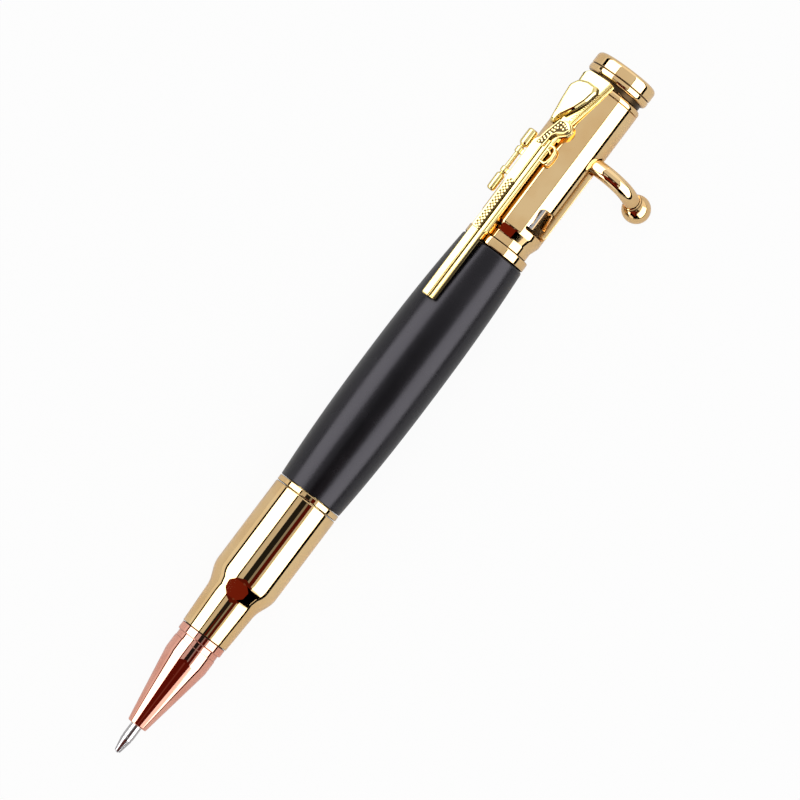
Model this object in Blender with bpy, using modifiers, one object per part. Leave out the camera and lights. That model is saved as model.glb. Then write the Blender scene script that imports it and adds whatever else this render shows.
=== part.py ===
"""Bolt-action ballpoint pen with a cartridge-shaped lower barrel and a rifle-shaped clip.

The pen lies along X, as on a table: it rests on its belly and on the knob of its bolt. The origin
is the centre of the flat end face of its cap, and the writing point looks along -X. All lengths are
in metres.

Each piece is built with the clip straight up, and lay_down then rolls the whole pen. A turn is the
angle round the pen, from the clip towards the bolt's slot.
"""

import math

import bmesh
import bpy
from mathutils import Matrix, Vector

MM = 0.001

# Clearances shared by all pieces
SEAM = 0.12 * MM
FIT = 0.2 * MM
OVERRUN = 1.5 * MM
MERGE_DISTANCE = 0.001 * MM

# Roundness of the turned pieces
OUTER_SIDES = 40
INNER_SIDES = 24
FINE_SIDES = 14
ARC_STEPS = 3

# Finial, the cap end that screws into the receiver
FINIAL_RADIUS = 5.85 * MM
FINIAL_BAND_LENGTH = 2.25 * MM
FINIAL_END_ROUND = 0.85 * MM
FINIAL_GROOVE_WIDTH = 0.2 * MM
FINIAL_GROOVE_DEPTH = 0.25 * MM
FINIAL_COLLAR_LENGTH = 1.2 * MM
FINIAL_COLLAR_ROUND = 0.7 * MM
FINIAL_NECK_LENGTH = 0.75 * MM
FINIAL_NECK_RADIUS = 5.15 * MM
FINIAL_STUD_RADIUS = 2.5 * MM
FINIAL_STUD_LENGTH = 4.2 * MM

# Ring that carries the clip
CLIP_RING_LENGTH = 1.0 * MM
CLIP_RING_ROUND = 0.7 * MM

# Receiver, the gold tube with the bolt's slot
RECEIVER_RADIUS = 5.8 * MM
RECEIVER_TUBE_LENGTH = 27.3 * MM
RECEIVER_BORE_RADIUS = 4.5 * MM
COVE_LENGTH = 1.6 * MM
COVE_ROUND = 1.0 * MM
COVE_FOOT_ROUND = 0.4 * MM
GROOVE_LENGTH = 1.45 * MM
GROOVE_RADIUS = 5.2 * MM
BUSH_LENGTH = 3.0 * MM

# Slot and notch in the receiver
SLOT_LENGTH = 17.2 * MM
SLOT_WIDTH = 3.2 * MM
SLOT_SETBACK = 8.95 * MM
NOTCH_LENGTH = 4.5 * MM
NOTCH_REACH = 2.0 * MM
NOTCH_CORNER_ROUND = 1.3 * MM
NOTCH_SIDE_ROUND = 0.2 * MM
NOTCH_TURN = math.radians(31.5)

# Bolt: its handle leans this far from the clip, round the pen
HANDLE_TURN = math.radians(103.0)
STEM_RADIUS = 1.43 * MM
STEM_SLOT_CLEARANCE = 0.23 * MM
STEM_BEND_RADIUS = 6.75 * MM
STEM_BEND_TURN = math.radians(77.0)
STEM_SWEEP_RADIUS = 50.0 * MM
STEM_STEPS = 12
KNOB_RADIUS = 2.5 * MM
KNOB_COLLAR_RADIUS = 1.55 * MM
KNOB_COLLAR_LENGTH = 0.4 * MM
KNOB_ARC_STEPS = 9
CARRIER_LENGTH = 8.2 * MM
CARRIER_OVERHANG = 2.25 * MM
CARRIER_BORE_RADIUS = 2.2 * MM
PLUNGER_RADIUS = 3.5 * MM
PLUNGER_NOSE_LENGTH = 12.7 * MM
PLUNGER_EDGE_ROUND = 0.35 * MM

# Upper coupler, its collar shows between barrel and receiver
COLLAR_LENGTH = 1.6 * MM
COLLAR_RADIUS = 5.9 * MM
COLLAR_EDGE_ROUND = 0.2 * MM
COUPLER_BORE_RADIUS = 3.75 * MM
UPPER_SPIGOT_LENGTH = 2.8 * MM
TUBE_SPIGOT_LENGTH = 5.0 * MM

# Barrel: a turned resin sleeve on a brass tube
BARREL_LENGTH = 50.75 * MM
BARREL_BELLY_RADIUS = 6.8 * MM
BARREL_END_RADIUS = 5.98 * MM
BARREL_BULGE_POWER = 2.3
BARREL_STATIONS = 12
BARREL_EDGE_ROUND = 0.5 * MM
BARREL_TUBE_RADIUS = 4.8 * MM
BARREL_TUBE_WALL = 0.35 * MM
BARREL_TUBE_INSET = 0.2 * MM

# Trim ring and lower coupler
TRIM_RING_LENGTH = 1.0 * MM
TRIM_RING_RADIUS = 6.0 * MM
TRIM_EDGE_ROUND = 0.15 * MM
LOWER_HEAD_LENGTH = 4.0 * MM
LOWER_BORE_RADIUS = 3.4 * MM

# Cartridge-shaped lower barrel
CARTRIDGE_LENGTH = 28.05 * MM
CARTRIDGE_BODY_RADIUS = 6.0 * MM
CARTRIDGE_BODY_LENGTH = 17.2 * MM
CARTRIDGE_SHOULDER_LENGTH = 3.05 * MM
CARTRIDGE_SHOULDER_ROUND = 5.0 * MM
CARTRIDGE_NECK_BACK_RADIUS = 4.75 * MM
CARTRIDGE_NECK_FRONT_RADIUS = 4.4 * MM
CARTRIDGE_BORE_RADIUS = 5.1 * MM
CARTRIDGE_NECK_BORE_RADIUS = 3.95 * MM
CARTRIDGE_EDGE_ROUND = 0.2 * MM

# Nose cone
NOSE_LENGTH = 18.65 * MM
NOSE_RING_LENGTH = 1.45 * MM
NOSE_RING_RADIUS = 4.28 * MM
NOSE_RING_ROUND = 0.3 * MM
NOSE_STEP_LENGTH = 1.1 * MM
NOSE_STEP_RADIUS = 3.94 * MM
NOSE_SHOULDER_LENGTH = 2.6 * MM
NOSE_SHOULDER_RADIUS = 4.04 * MM
NOSE_SHOULDER_ROUND = 4.0 * MM
NOSE_TIP_RADIUS = 1.78 * MM
NOSE_TIP_ROUND = 0.2 * MM
NOSE_BORE_RADIUS = 3.15 * MM
NOSE_BORE_LENGTH = 7.4 * MM
NOSE_SPRING_BORE_RADIUS = 2.1 * MM
NOSE_SPRING_BORE_LENGTH = 5.6 * MM
NOSE_SPIGOT_LENGTH = 4.8 * MM

# Refill
NIB_LENGTH = 5.6 * MM
REFILL_RADIUS = 2.95 * MM
REFILL_WALL = 0.45 * MM
REFILL_END_GAP = 0.3 * MM
REFILL_SHOULDER_ROUND = 0.6 * MM
REFILL_SHOULDER_CLEARANCE = 0.8 * MM
NIB_TUBE_RADIUS = 1.03 * MM
NIB_CONE_LENGTH = 2.4 * MM
NIB_LIP_RADIUS = 0.52 * MM
NIB_TUBE_INSERT = 1.6 * MM
BALL_RADIUS = 0.35 * MM
BALL_PROUD = 0.22 * MM
BALL_PLAY = 0.06 * MM
END_CAP_LENGTH = 2.4 * MM
END_CAP_SPIGOT_LENGTH = 3.0 * MM
END_CAP_CHAMFER = 0.5 * MM

# Refill spring
SPRING_WIRE_RADIUS = 0.2 * MM
SPRING_RADIUS = 1.7 * MM
SPRING_TURNS = 6
SPRING_TURN_POINTS = 10

# Clip: an arm shaped as a rifle in relief, on a tail that wraps the receiver
CLIP_GAP = 0.17 * MM
CLIP_LENGTH = 46.1 * MM
CLIP_HEIGHT = 7.0 * MM
CLIP_HALF_WIDTH = 1.3 * MM
CLIP_PLATE_THICKNESS = 0.65 * MM
CLIP_BODY_THICKNESS = 1.25 * MM
CLIP_BODY_ROUND = 0.3 * MM
CLIP_BODY_INSET = 0.05 * MM
TAIL_THICKNESS = 0.65 * MM
TAIL_LENGTH = 9.6 * MM
TAIL_FRONT_HALF_WIDTH = 1.4 * MM
TAIL_BACK_HALF_WIDTH = 3.3 * MM
TAIL_OVERHANG = 0.45 * MM
TAIL_CORNER_ROUND = 0.9 * MM
WRIST_SETBACK = 8.6 * MM
WRIST_LENGTH = 4.2 * MM
WRIST_HALF_WIDTH = 0.75 * MM
WRIST_OFFSET = 0.75 * MM
GUN_BARREL_RADIUS = 0.62 * MM
GUN_BARREL_LENGTH = 15.0 * MM
GUN_BARREL_LEVEL = 7.6 * MM
MAGAZINE_RADIUS = 0.55 * MM
MAGAZINE_LEVEL = 7.5 * MM
SCOPE_OFFSET = 2.7 * MM
SCOPE_LEVEL = 7.7 * MM
SCOPE_TUBE_RADIUS = 0.42 * MM
SCOPE_RING_RADIUS = 0.6 * MM
SCOPE_BELL_RADIUS = 0.74 * MM
SCOPE_LENGTH = 12.4 * MM
SCOPE_SETBACK = 13.2 * MM
SCOPE_WEB_THICKNESS = 0.5 * MM
BUTT_LENGTH = 9.1 * MM
BUTT_HALF_WIDTH = 2.8 * MM
BUTT_SETBACK = 1.5 * MM
BUTT_HEIGHT = 1.15 * MM
BUTT_ROUND = 0.42 * MM
GUARD_HOLE_LENGTH = 2.0 * MM
GUARD_HOLE_DEPTH = 0.95 * MM
GUARD_HOLE_ROUND = 0.4 * MM

# Rifle outline: shares of the clip's length from its root, and of its half width
RIFLE_MUZZLE_SHARES = (
    (1.0, -0.9),
    (1.0, 0.8),
    (0.71, 0.8),
)
RIFLE_TOP_SHARES = (
    (0.70, 0.92),
    (0.50, 0.95),
    (0.49, 1.2),
    (0.31, 1.2),
    (0.292, 0.6),
    (0.215, -0.4),
)
RIFLE_GRIP_SHARES = (
    (0.196, -1.0),
    (0.198, -1.9),
    (0.208, -2.45),
    (0.224, -2.7),
    (0.240, -2.4),
    (0.258, -1.5),
    (0.275, -1.15),
)
RIFLE_GUARD_SHARES = (
    (0.304, -1.25),
    (0.304, -2.1),
    (0.312, -2.45),
    (0.330, -2.55),
    (0.358, -2.4),
    (0.370, -2.1),
    (0.372, -1.25),
)
RIFLE_BOTTOM_SHARES = (
    (0.70, -1.15),
)

# Scope profile: shares of its length from the eyepiece, each with the radius there
SCOPE_BELL_SHARES = (0.03, 0.25)
SCOPE_BACK_RING_SHARES = (0.285, 0.395)
SCOPE_FRONT_RING_SHARES = (0.615, 0.705)
SCOPE_FRONT_BELL_SHARES = (0.73, 0.97)

# Butt outline: shares of its length from its cap end, and of its half width
BUTT_SHARES = (
    (0.0, 0.0),
    (0.02, -0.5),
    (0.08, -0.82),
    (0.20, -0.95),
    (0.36, -0.84),
    (0.57, -0.50),
    (0.78, -0.12),
    (0.90, 0.08),
    (1.0, 0.25),
    (1.0, 0.62),
    (0.85, 0.72),
    (0.57, 0.88),
    (0.29, 0.98),
    (0.15, 0.86),
    (0.04, 0.45),
)

# Stations along the pen, from the cap's end face towards the writing point
FINIAL_LENGTH = FINIAL_BAND_LENGTH + FINIAL_GROOVE_WIDTH + FINIAL_COLLAR_LENGTH + FINIAL_NECK_LENGTH
FINIAL_FRONT = -FINIAL_LENGTH
RING_BACK = FINIAL_FRONT - SEAM
RING_FRONT = RING_BACK - CLIP_RING_LENGTH
RECEIVER_BACK = RING_FRONT - SEAM
COVE_BACK = RECEIVER_BACK - RECEIVER_TUBE_LENGTH
GROOVE_BACK = COVE_BACK - COVE_LENGTH
RECEIVER_FRONT = GROOVE_BACK - GROOVE_LENGTH
COLLAR_BACK = RECEIVER_FRONT - SEAM
COLLAR_FRONT = COLLAR_BACK - COLLAR_LENGTH
BARREL_BACK = COLLAR_FRONT - SEAM
BARREL_FRONT = BARREL_BACK - BARREL_LENGTH
TRIM_BACK = BARREL_FRONT - SEAM
TRIM_FRONT = TRIM_BACK - TRIM_RING_LENGTH
CARTRIDGE_BACK = TRIM_FRONT - SEAM
CARTRIDGE_FRONT = CARTRIDGE_BACK - CARTRIDGE_LENGTH
NOSE_BACK = CARTRIDGE_FRONT - SEAM
NOSE_FRONT = NOSE_BACK - NOSE_LENGTH
NIB_FRONT = NOSE_FRONT - NIB_LENGTH

SLOT_BACK = RECEIVER_BACK - SLOT_SETBACK
SLOT_FRONT = SLOT_BACK - SLOT_LENGTH
STEM_STATION = SLOT_BACK - STEM_SLOT_CLEARANCE - STEM_RADIUS
CARRIER_FRONT = STEM_STATION - CARRIER_OVERHANG
CARRIER_BACK = CARRIER_FRONT + CARRIER_LENGTH
PLUNGER_STEP = CARRIER_FRONT - SEAM
PLUNGER_FRONT = PLUNGER_STEP - PLUNGER_NOSE_LENGTH
BOLT_STROKE = STEM_STATION - STEM_RADIUS - FIT - SLOT_FRONT
SPIGOT_RADIUS = RECEIVER_BORE_RADIUS - FIT

NOSE_BORE_FRONT = NOSE_BACK - NOSE_BORE_LENGTH
NOSE_SEAT = NOSE_BORE_FRONT - NOSE_SPRING_BORE_LENGTH
REFILL_BACK = PLUNGER_FRONT - BOLT_STROKE - REFILL_END_GAP
REFILL_FRONT = NOSE_BORE_FRONT + REFILL_SHOULDER_CLEARANCE
END_CAP_FRONT = REFILL_BACK - END_CAP_LENGTH
REFILL_TUBE_BACK = END_CAP_FRONT - SEAM
NIB_LIP = NIB_FRONT + BALL_PROUD
BALL_CENTRE = NIB_FRONT + BALL_RADIUS

CLIP_ROOT = RING_BACK
CLIP_UNDERSIDE_RADIUS = RECEIVER_RADIUS + CLIP_GAP
CLIP_TIP = CLIP_ROOT - CLIP_LENGTH


def material(name, colour, roughness, metallic):
    """Return a plain Principled material."""
    made = bpy.data.materials.new(name)
    made.use_nodes = True
    shader = made.node_tree.nodes["Principled BSDF"]
    shader.inputs["Base Color"].default_value = (*colour, 1.0)
    shader.inputs["Roughness"].default_value = roughness
    shader.inputs["Metallic"].default_value = metallic
    made.diffuse_color = (*colour, 1.0)
    return made


def gold_plate():
    """Bright gold plating of the receiver, clip, finial and cartridge."""
    return material("gold_plate", (0.86, 0.66, 0.31), 0.08, 1.0)


def copper_plate():
    """Rose copper plating of the nose cone."""
    return material("copper_plate", (0.86, 0.46, 0.33), 0.1, 1.0)


def black_resin():
    """Satin black resin of the barrel."""
    return material("black_resin", (0.012, 0.011, 0.013), 0.35, 0.0)


def bare_brass():
    """Unplated brass of the hidden tubes and couplers."""
    return material("bare_brass", (0.72, 0.55, 0.26), 0.3, 1.0)


def bright_steel():
    """Polished steel of the plunger and the nib."""
    return material("bright_steel", (0.68, 0.69, 0.7), 0.2, 1.0)


def refill_metal():
    """Drawn tube of the refill."""
    return material("refill_metal", (0.6, 0.6, 0.62), 0.35, 1.0)


def refill_plastic():
    """Grey plastic of the refill's end cap."""
    return material("refill_plastic", (0.2, 0.2, 0.22), 0.5, 0.0)


def clear_scene():
    """Remove every object that is already in the scene."""
    for thing in list(bpy.data.objects):
        bpy.data.objects.remove(thing, do_unlink=True)


def new_collection(name):
    """Return a new collection under the scene's own."""
    made = bpy.data.collections.new(name)
    bpy.context.scene.collection.children.link(made)
    return made


def new_object(name, data, group, coat=None):
    """Link a new object into a group and give its data a material."""
    made = bpy.data.objects.new(name, data)
    group.objects.link(made)
    if coat:
        made.data.materials.append(coat)
    return made


def anchor(name, group, place):
    """Return an empty that stands on a joint's axis."""
    made = bpy.data.objects.new(name, None)
    made.empty_display_size = OVERRUN
    made.location = place
    group.objects.link(made)
    return made


def carry(thing, holder):
    """Parent a piece to the empty on its joint's axis, and leave it where it lies."""
    thing.parent = holder
    thing.matrix_parent_inverse = Matrix.Translation(-holder.location)


def rounded(corners, steps=ARC_STEPS):
    """Return the outline through corners (u, v, fillet radius), with an arc at each fillet."""
    outline = []
    for index, (u, v, fillet) in enumerate(corners):
        corner = Vector((u, v))
        if not fillet:
            outline.append(corner)
            continue
        before = Vector(corners[index - 1][:2]) - corner
        after = Vector(corners[(index + 1) % len(corners)][:2]) - corner
        half = before.angle(after) / 2
        centre = corner + (before.normalized() + after.normalized()).normalized() * fillet / math.sin(half)
        start = corner + before.normalized() * fillet / math.tan(half) - centre
        sweep = -start.angle_signed(corner + after.normalized() * fillet / math.tan(half) - centre)
        for step in range(steps + 1):
            outline.append(centre + Matrix.Rotation(sweep * step / steps, 2) @ start)
    return outline


def sharp(*corners):
    """Give plain corners (u, v) a fillet of zero."""
    return [(u, v, 0.0) for u, v in corners]


def turned(name, outline, sides, group, coat):
    """Turn an outline of (radius, station) about the pen's axis.

    The outline runs down the outer side from the cap's end, and back up the bore if there is one.
    """
    solid_core = outline[0][0] == 0 and outline[-1][0] == 0
    last = len(outline) - 1 if solid_core else len(outline)
    mesh = bpy.data.meshes.new(name)
    points = [(radius, 0.0, station) for radius, station in outline]
    edges = [(index, (index + 1) % len(outline)) for index in range(last)]
    mesh.from_pydata(points, edges, [])
    made = new_object(name, mesh, group, coat)
    made.rotation_euler = (0.0, math.pi / 2, 0.0)
    screw = made.modifiers.new("turn", "SCREW")
    screw.axis = "Z"
    screw.steps = sides
    screw.render_steps = sides
    screw.use_merge_vertices = True
    screw.merge_threshold = MERGE_DISTANCE
    screw.use_smooth_shade = True
    return made


def as_mesh(curve_object, group, coat=None):
    """Replace a curve object by a mesh object with welded caps, at the same place."""
    name = curve_object.name
    bpy.context.view_layer.update()
    seen = curve_object.evaluated_get(bpy.context.evaluated_depsgraph_get())
    mesh = bpy.data.meshes.new_from_object(seen)
    place = curve_object.matrix_world.copy()
    bpy.data.objects.remove(curve_object, do_unlink=True)
    work = bmesh.new()
    work.from_mesh(mesh)
    bmesh.ops.remove_doubles(work, verts=work.verts, dist=MERGE_DISTANCE)
    bmesh.ops.recalc_face_normals(work, faces=work.faces)
    work.to_mesh(mesh)
    work.free()
    mesh.materials.clear()
    made = new_object(name, mesh, group, coat)
    made.matrix_world = place
    return made


def plate(name, outlines, low, high, group, coat=None, edge_round=0.0, inset=0.0):
    """Extrude flat outlines, the first one solid and the rest holes, from one height to another."""
    curve = bpy.data.curves.new(name, "CURVE")
    curve.dimensions = "2D"
    curve.fill_mode = "BOTH"
    curve.extrude = (high - low) / 2 - edge_round
    curve.bevel_depth = edge_round
    curve.bevel_resolution = 1
    curve.offset = -edge_round - inset
    for outline in outlines:
        spline = curve.splines.new("POLY")
        spline.points.add(len(outline) - 1)
        for point, (u, v) in zip(spline.points, outline):
            point.co = (u, v, 0.0, 1.0)
        spline.use_cyclic_u = True
    made = new_object(name, curve, group)
    made.location = (0.0, 0.0, (high + low) / 2)
    return as_mesh(made, group, coat)


def rod(name, radius, start, end, sides, group, coat=None):
    """Return a cylinder between two points."""
    start = Vector(start)
    end = Vector(end)
    mesh = bpy.data.meshes.new(name)
    work = bmesh.new()
    bmesh.ops.create_cone(
        work,
        cap_ends=True,
        segments=sides,
        radius1=radius,
        radius2=radius,
        depth=(end - start).length,
        matrix=(end - start).to_track_quat("Z", "Y").to_matrix().to_4x4(),
    )
    work.to_mesh(mesh)
    work.free()
    made = new_object(name, mesh, group, coat)
    made.location = (start + end) / 2
    return made


def hide_cutter(cutter):
    """Mark a shape that only cuts or joins others."""
    cutter.hide_render = True
    cutter.display_type = "WIRE"


def combine(target, tool, operation):
    """Cut, join or trim a piece with another shape."""
    hide_cutter(tool)
    change = target.modifiers.new(tool.name, "BOOLEAN")
    change.operation = operation
    change.solver = "EXACT"
    change.object = tool


def smooth(piece, angle=math.radians(35.0)):
    """Shade a mesh smooth, and keep its sharp edges."""
    piece.data.shade_smooth()
    piece.data.set_sharp_from_angle(angle=angle)


def round_the_pen(turn, distance, station=0.0):
    """Return the point at a turn from the clip and a distance from the pen's axis."""
    return Vector((station, -math.sin(turn) * distance, math.cos(turn) * distance))


def finial(group, coat):
    """Cap end: an end band, a fine groove, a collar and a neck, on a screw stud."""
    band_front = -FINIAL_BAND_LENGTH
    collar_back = band_front - FINIAL_GROOVE_WIDTH
    collar_front = collar_back - FINIAL_COLLAR_LENGTH
    groove_radius = FINIAL_RADIUS - FINIAL_GROOVE_DEPTH
    corners = [
        (0.0, 0.0, 0.0),
        (FINIAL_RADIUS, 0.0, FINIAL_END_ROUND),
        (FINIAL_RADIUS, band_front, 0.0),
        (groove_radius, band_front, 0.0),
        (groove_radius, collar_back, 0.0),
        (FINIAL_RADIUS, collar_back, 0.0),
        (FINIAL_RADIUS, collar_front, FINIAL_COLLAR_ROUND),
        (FINIAL_NECK_RADIUS, collar_front, 0.0),
        (FINIAL_NECK_RADIUS, FINIAL_FRONT, 0.0),
        (FINIAL_STUD_RADIUS, FINIAL_FRONT, 0.0),
        (FINIAL_STUD_RADIUS, FINIAL_FRONT - FINIAL_STUD_LENGTH, 0.0),
        (0.0, FINIAL_FRONT - FINIAL_STUD_LENGTH, 0.0),
    ]
    return turned("finial", rounded(corners), OUTER_SIDES, group, coat)


def clip_ring(group, coat):
    """Flat ring between finial and receiver, the clip's foot."""
    bore = FINIAL_STUD_RADIUS + FIT
    corners = [
        (bore, RING_BACK, 0.0),
        (RECEIVER_RADIUS, RING_BACK, CLIP_RING_ROUND),
        (RECEIVER_RADIUS, RING_FRONT, 0.0),
        (bore, RING_FRONT, 0.0),
    ]
    return turned("clip_ring", rounded(corners), OUTER_SIDES, group, coat)


def receiver_bush(group, coat):
    """Threaded bush in the receiver's back end, which the finial screws into."""
    bore = FINIAL_STUD_RADIUS + FIT
    corners = sharp(
        (bore, RECEIVER_BACK),
        (SPIGOT_RADIUS, RECEIVER_BACK),
        (SPIGOT_RADIUS, RECEIVER_BACK - BUSH_LENGTH),
        (bore, RECEIVER_BACK - BUSH_LENGTH),
    )
    return turned("receiver_bush", rounded(corners), INNER_SIDES, group, coat)


def slot_cutter(cutters):
    """Straight slot that the handle runs in, with round ends."""
    half = SLOT_WIDTH / 2
    corners = [
        (SLOT_BACK, -half, half),
        (SLOT_BACK, half, half),
        (SLOT_FRONT, half, NOTCH_SIDE_ROUND),
        (SLOT_FRONT, -half, half),
    ]
    cutter = plate(
        "slot_cutter",
        [rounded(corners)],
        RECEIVER_BORE_RADIUS - OVERRUN,
        RECEIVER_RADIUS + OVERRUN,
        cutters,
    )
    cutter.matrix_world = Matrix.Rotation(HANDLE_TURN, 4, "X") @ cutter.matrix_world
    return cutter


def notch_cutter(cutters):
    """Notch at the slot's front end, which holds the handle when it is turned up."""
    back = SLOT_FRONT + NOTCH_LENGTH
    corners = [
        (back, -NOTCH_REACH, 0.0),
        (back, NOTCH_REACH, NOTCH_CORNER_ROUND),
        (SLOT_FRONT, NOTCH_REACH, NOTCH_SIDE_ROUND),
        (SLOT_FRONT, -NOTCH_REACH, 0.0),
    ]
    cutter = plate(
        "notch_cutter",
        [rounded(corners)],
        RECEIVER_BORE_RADIUS - OVERRUN,
        RECEIVER_RADIUS + OVERRUN,
        cutters,
    )
    cutter.matrix_world = Matrix.Rotation(HANDLE_TURN - NOTCH_TURN, 4, "X") @ cutter.matrix_world
    return cutter


def receiver(group, cutters, coat):
    """Gold tube with a groove and a cove at its front, and the bolt's slot and notch."""
    corners = [
        (RECEIVER_BORE_RADIUS, RECEIVER_BACK, 0.0),
        (RECEIVER_RADIUS, RECEIVER_BACK, 0.0),
        (RECEIVER_RADIUS, COVE_BACK, COVE_ROUND),
        (GROOVE_RADIUS, GROOVE_BACK, COVE_FOOT_ROUND),
        (GROOVE_RADIUS, RECEIVER_FRONT, 0.0),
        (RECEIVER_BORE_RADIUS, RECEIVER_FRONT, 0.0),
    ]
    made = turned("receiver", rounded(corners), OUTER_SIDES, group, coat)
    combine(made, slot_cutter(cutters), "DIFFERENCE")
    combine(made, notch_cutter(cutters), "DIFFERENCE")
    return made


def bolt_carrier(group, cutters, coat):
    """Sleeve that slides in the receiver and holds the handle."""
    corners = sharp(
        (CARRIER_BORE_RADIUS, CARRIER_BACK),
        (SPIGOT_RADIUS, CARRIER_BACK),
        (SPIGOT_RADIUS, CARRIER_FRONT),
        (CARRIER_BORE_RADIUS, CARRIER_FRONT),
    )
    made = turned("bolt_carrier", rounded(corners), INNER_SIDES, group, coat)
    hole = rod(
        "handle_hole_cutter",
        STEM_RADIUS + FIT,
        round_the_pen(HANDLE_TURN, 0.0, STEM_STATION),
        round_the_pen(HANDLE_TURN, SPIGOT_RADIUS + OVERRUN, STEM_STATION),
        INNER_SIDES,
        cutters,
    )
    combine(made, hole, "DIFFERENCE")
    return made


def bolt_plunger(group, coat):
    """Steel rod that pushes the refill, on a thinner shank in the carrier."""
    shank = CARRIER_BORE_RADIUS - FIT
    corners = [
        (0.0, CARRIER_BACK, 0.0),
        (shank, CARRIER_BACK, 0.0),
        (shank, PLUNGER_STEP, 0.0),
        (PLUNGER_RADIUS, PLUNGER_STEP, 0.0),
        (PLUNGER_RADIUS, PLUNGER_FRONT, PLUNGER_EDGE_ROUND),
        (0.0, PLUNGER_FRONT, 0.0),
    ]
    return turned("bolt_plunger", rounded(corners), INNER_SIDES, group, coat)


def stem_route():
    """Return the stem's centreline, and the direction in which it leaves towards the knob.

    It is straight in the slot, then bends down round the pen and sweeps towards the nib.
    """
    outward = round_the_pen(HANDLE_TURN, 1.0)
    sideways = round_the_pen(HANDLE_TURN + math.pi / 2, 1.0)
    forward = Vector((-1.0, 0.0, 0.0))
    bend_start = round_the_pen(HANDLE_TURN, RECEIVER_RADIUS, STEM_STATION)
    route = [round_the_pen(HANDLE_TURN, CARRIER_BORE_RADIUS + FIT, STEM_STATION)]
    for step in range(STEM_STEPS + 1):
        bend = STEM_BEND_TURN * step / STEM_STEPS
        travelled = STEM_BEND_RADIUS * bend
        place = bend_start + outward * STEM_BEND_RADIUS * math.sin(bend)
        place += sideways * STEM_BEND_RADIUS * (1 - math.cos(bend))
        place += forward * travelled**2 / (2 * STEM_SWEEP_RADIUS)
        route.append(place)
    leaving = outward * math.cos(bend) + sideways * math.sin(bend)
    leaving += forward * travelled / STEM_SWEEP_RADIUS
    return route, leaving.normalized()


def knob_foot():
    """Return the distance from the knob's centre to the free end of its collar."""
    return math.sqrt(KNOB_RADIUS**2 - KNOB_COLLAR_RADIUS**2) + KNOB_COLLAR_LENGTH


def knob_centre():
    """Return the centre of the knob's ball."""
    route, leaving = stem_route()
    return route[-1] + leaving * (SEAM + knob_foot())


def bolt_handle(group, coat):
    """Curved stem of the bolt handle."""
    route = stem_route()[0]
    curve = bpy.data.curves.new("bolt_handle", "CURVE")
    curve.dimensions = "3D"
    curve.bevel_depth = STEM_RADIUS
    curve.bevel_resolution = 4
    curve.use_fill_caps = True
    spline = curve.splines.new("POLY")
    spline.points.add(len(route) - 1)
    for point, place in zip(spline.points, route):
        point.co = (*place, 1.0)
    return new_object("bolt_handle", curve, group, coat)


def bolt_knob(group, coat):
    """Ball at the end of the handle, with a small collar towards the stem."""
    collar_angle = math.asin(KNOB_COLLAR_RADIUS / KNOB_RADIUS)
    outline = [(0.0, KNOB_RADIUS)]
    for step in range(1, KNOB_ARC_STEPS + 1):
        angle = (math.pi - collar_angle) * step / KNOB_ARC_STEPS
        outline.append((KNOB_RADIUS * math.sin(angle), KNOB_RADIUS * math.cos(angle)))
    outline.append((KNOB_COLLAR_RADIUS, -knob_foot()))
    outline.append((0.0, -knob_foot()))
    made = turned("bolt_knob", outline, INNER_SIDES, group, coat)
    made.rotation_mode = "QUATERNION"
    made.rotation_quaternion = stem_route()[1].to_track_quat("Z", "Y")
    made.location = knob_centre()
    return made


def upper_coupler(group, coat):
    """Coupler with a visible collar, a spigot in the receiver and one in the barrel's tube."""
    tube_spigot = BARREL_TUBE_RADIUS - BARREL_TUBE_WALL - FIT
    corners = [
        (COUPLER_BORE_RADIUS, COLLAR_BACK + UPPER_SPIGOT_LENGTH, 0.0),
        (SPIGOT_RADIUS, COLLAR_BACK + UPPER_SPIGOT_LENGTH, 0.0),
        (SPIGOT_RADIUS, COLLAR_BACK, 0.0),
        (COLLAR_RADIUS, COLLAR_BACK, COLLAR_EDGE_ROUND),
        (COLLAR_RADIUS, COLLAR_FRONT, 0.0),
        (tube_spigot, COLLAR_FRONT, 0.0),
        (tube_spigot, COLLAR_FRONT - TUBE_SPIGOT_LENGTH, 0.0),
        (COUPLER_BORE_RADIUS, COLLAR_FRONT - TUBE_SPIGOT_LENGTH, 0.0),
    ]
    return turned("upper_coupler", rounded(corners), OUTER_SIDES, group, coat)


def barrel_sleeve(group, coat):
    """Black sleeve that swells gently to its middle, with a rounded edge at its back."""
    bore = BARREL_TUBE_RADIUS + FIT
    corners = [(bore, BARREL_BACK, 0.0)]
    for step in range(BARREL_STATIONS + 1):
        share = 2 * step / BARREL_STATIONS - 1
        drop = (BARREL_BELLY_RADIUS - BARREL_END_RADIUS) * abs(share) ** BARREL_BULGE_POWER
        station = BARREL_BACK - BARREL_LENGTH * step / BARREL_STATIONS
        corners.append((BARREL_BELLY_RADIUS - drop, station, 0.0 if step else BARREL_EDGE_ROUND))
    corners.append((bore, BARREL_FRONT, 0.0))
    return turned("barrel_sleeve", rounded(corners), OUTER_SIDES, group, coat)


def barrel_tube(group, coat):
    """Thin brass tube that lines the sleeve."""
    inner = BARREL_TUBE_RADIUS - BARREL_TUBE_WALL
    corners = sharp(
        (inner, BARREL_BACK - BARREL_TUBE_INSET),
        (BARREL_TUBE_RADIUS, BARREL_BACK - BARREL_TUBE_INSET),
        (BARREL_TUBE_RADIUS, BARREL_FRONT + BARREL_TUBE_INSET),
        (inner, BARREL_FRONT + BARREL_TUBE_INSET),
    )
    return turned("barrel_tube", rounded(corners), INNER_SIDES, group, coat)


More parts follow.
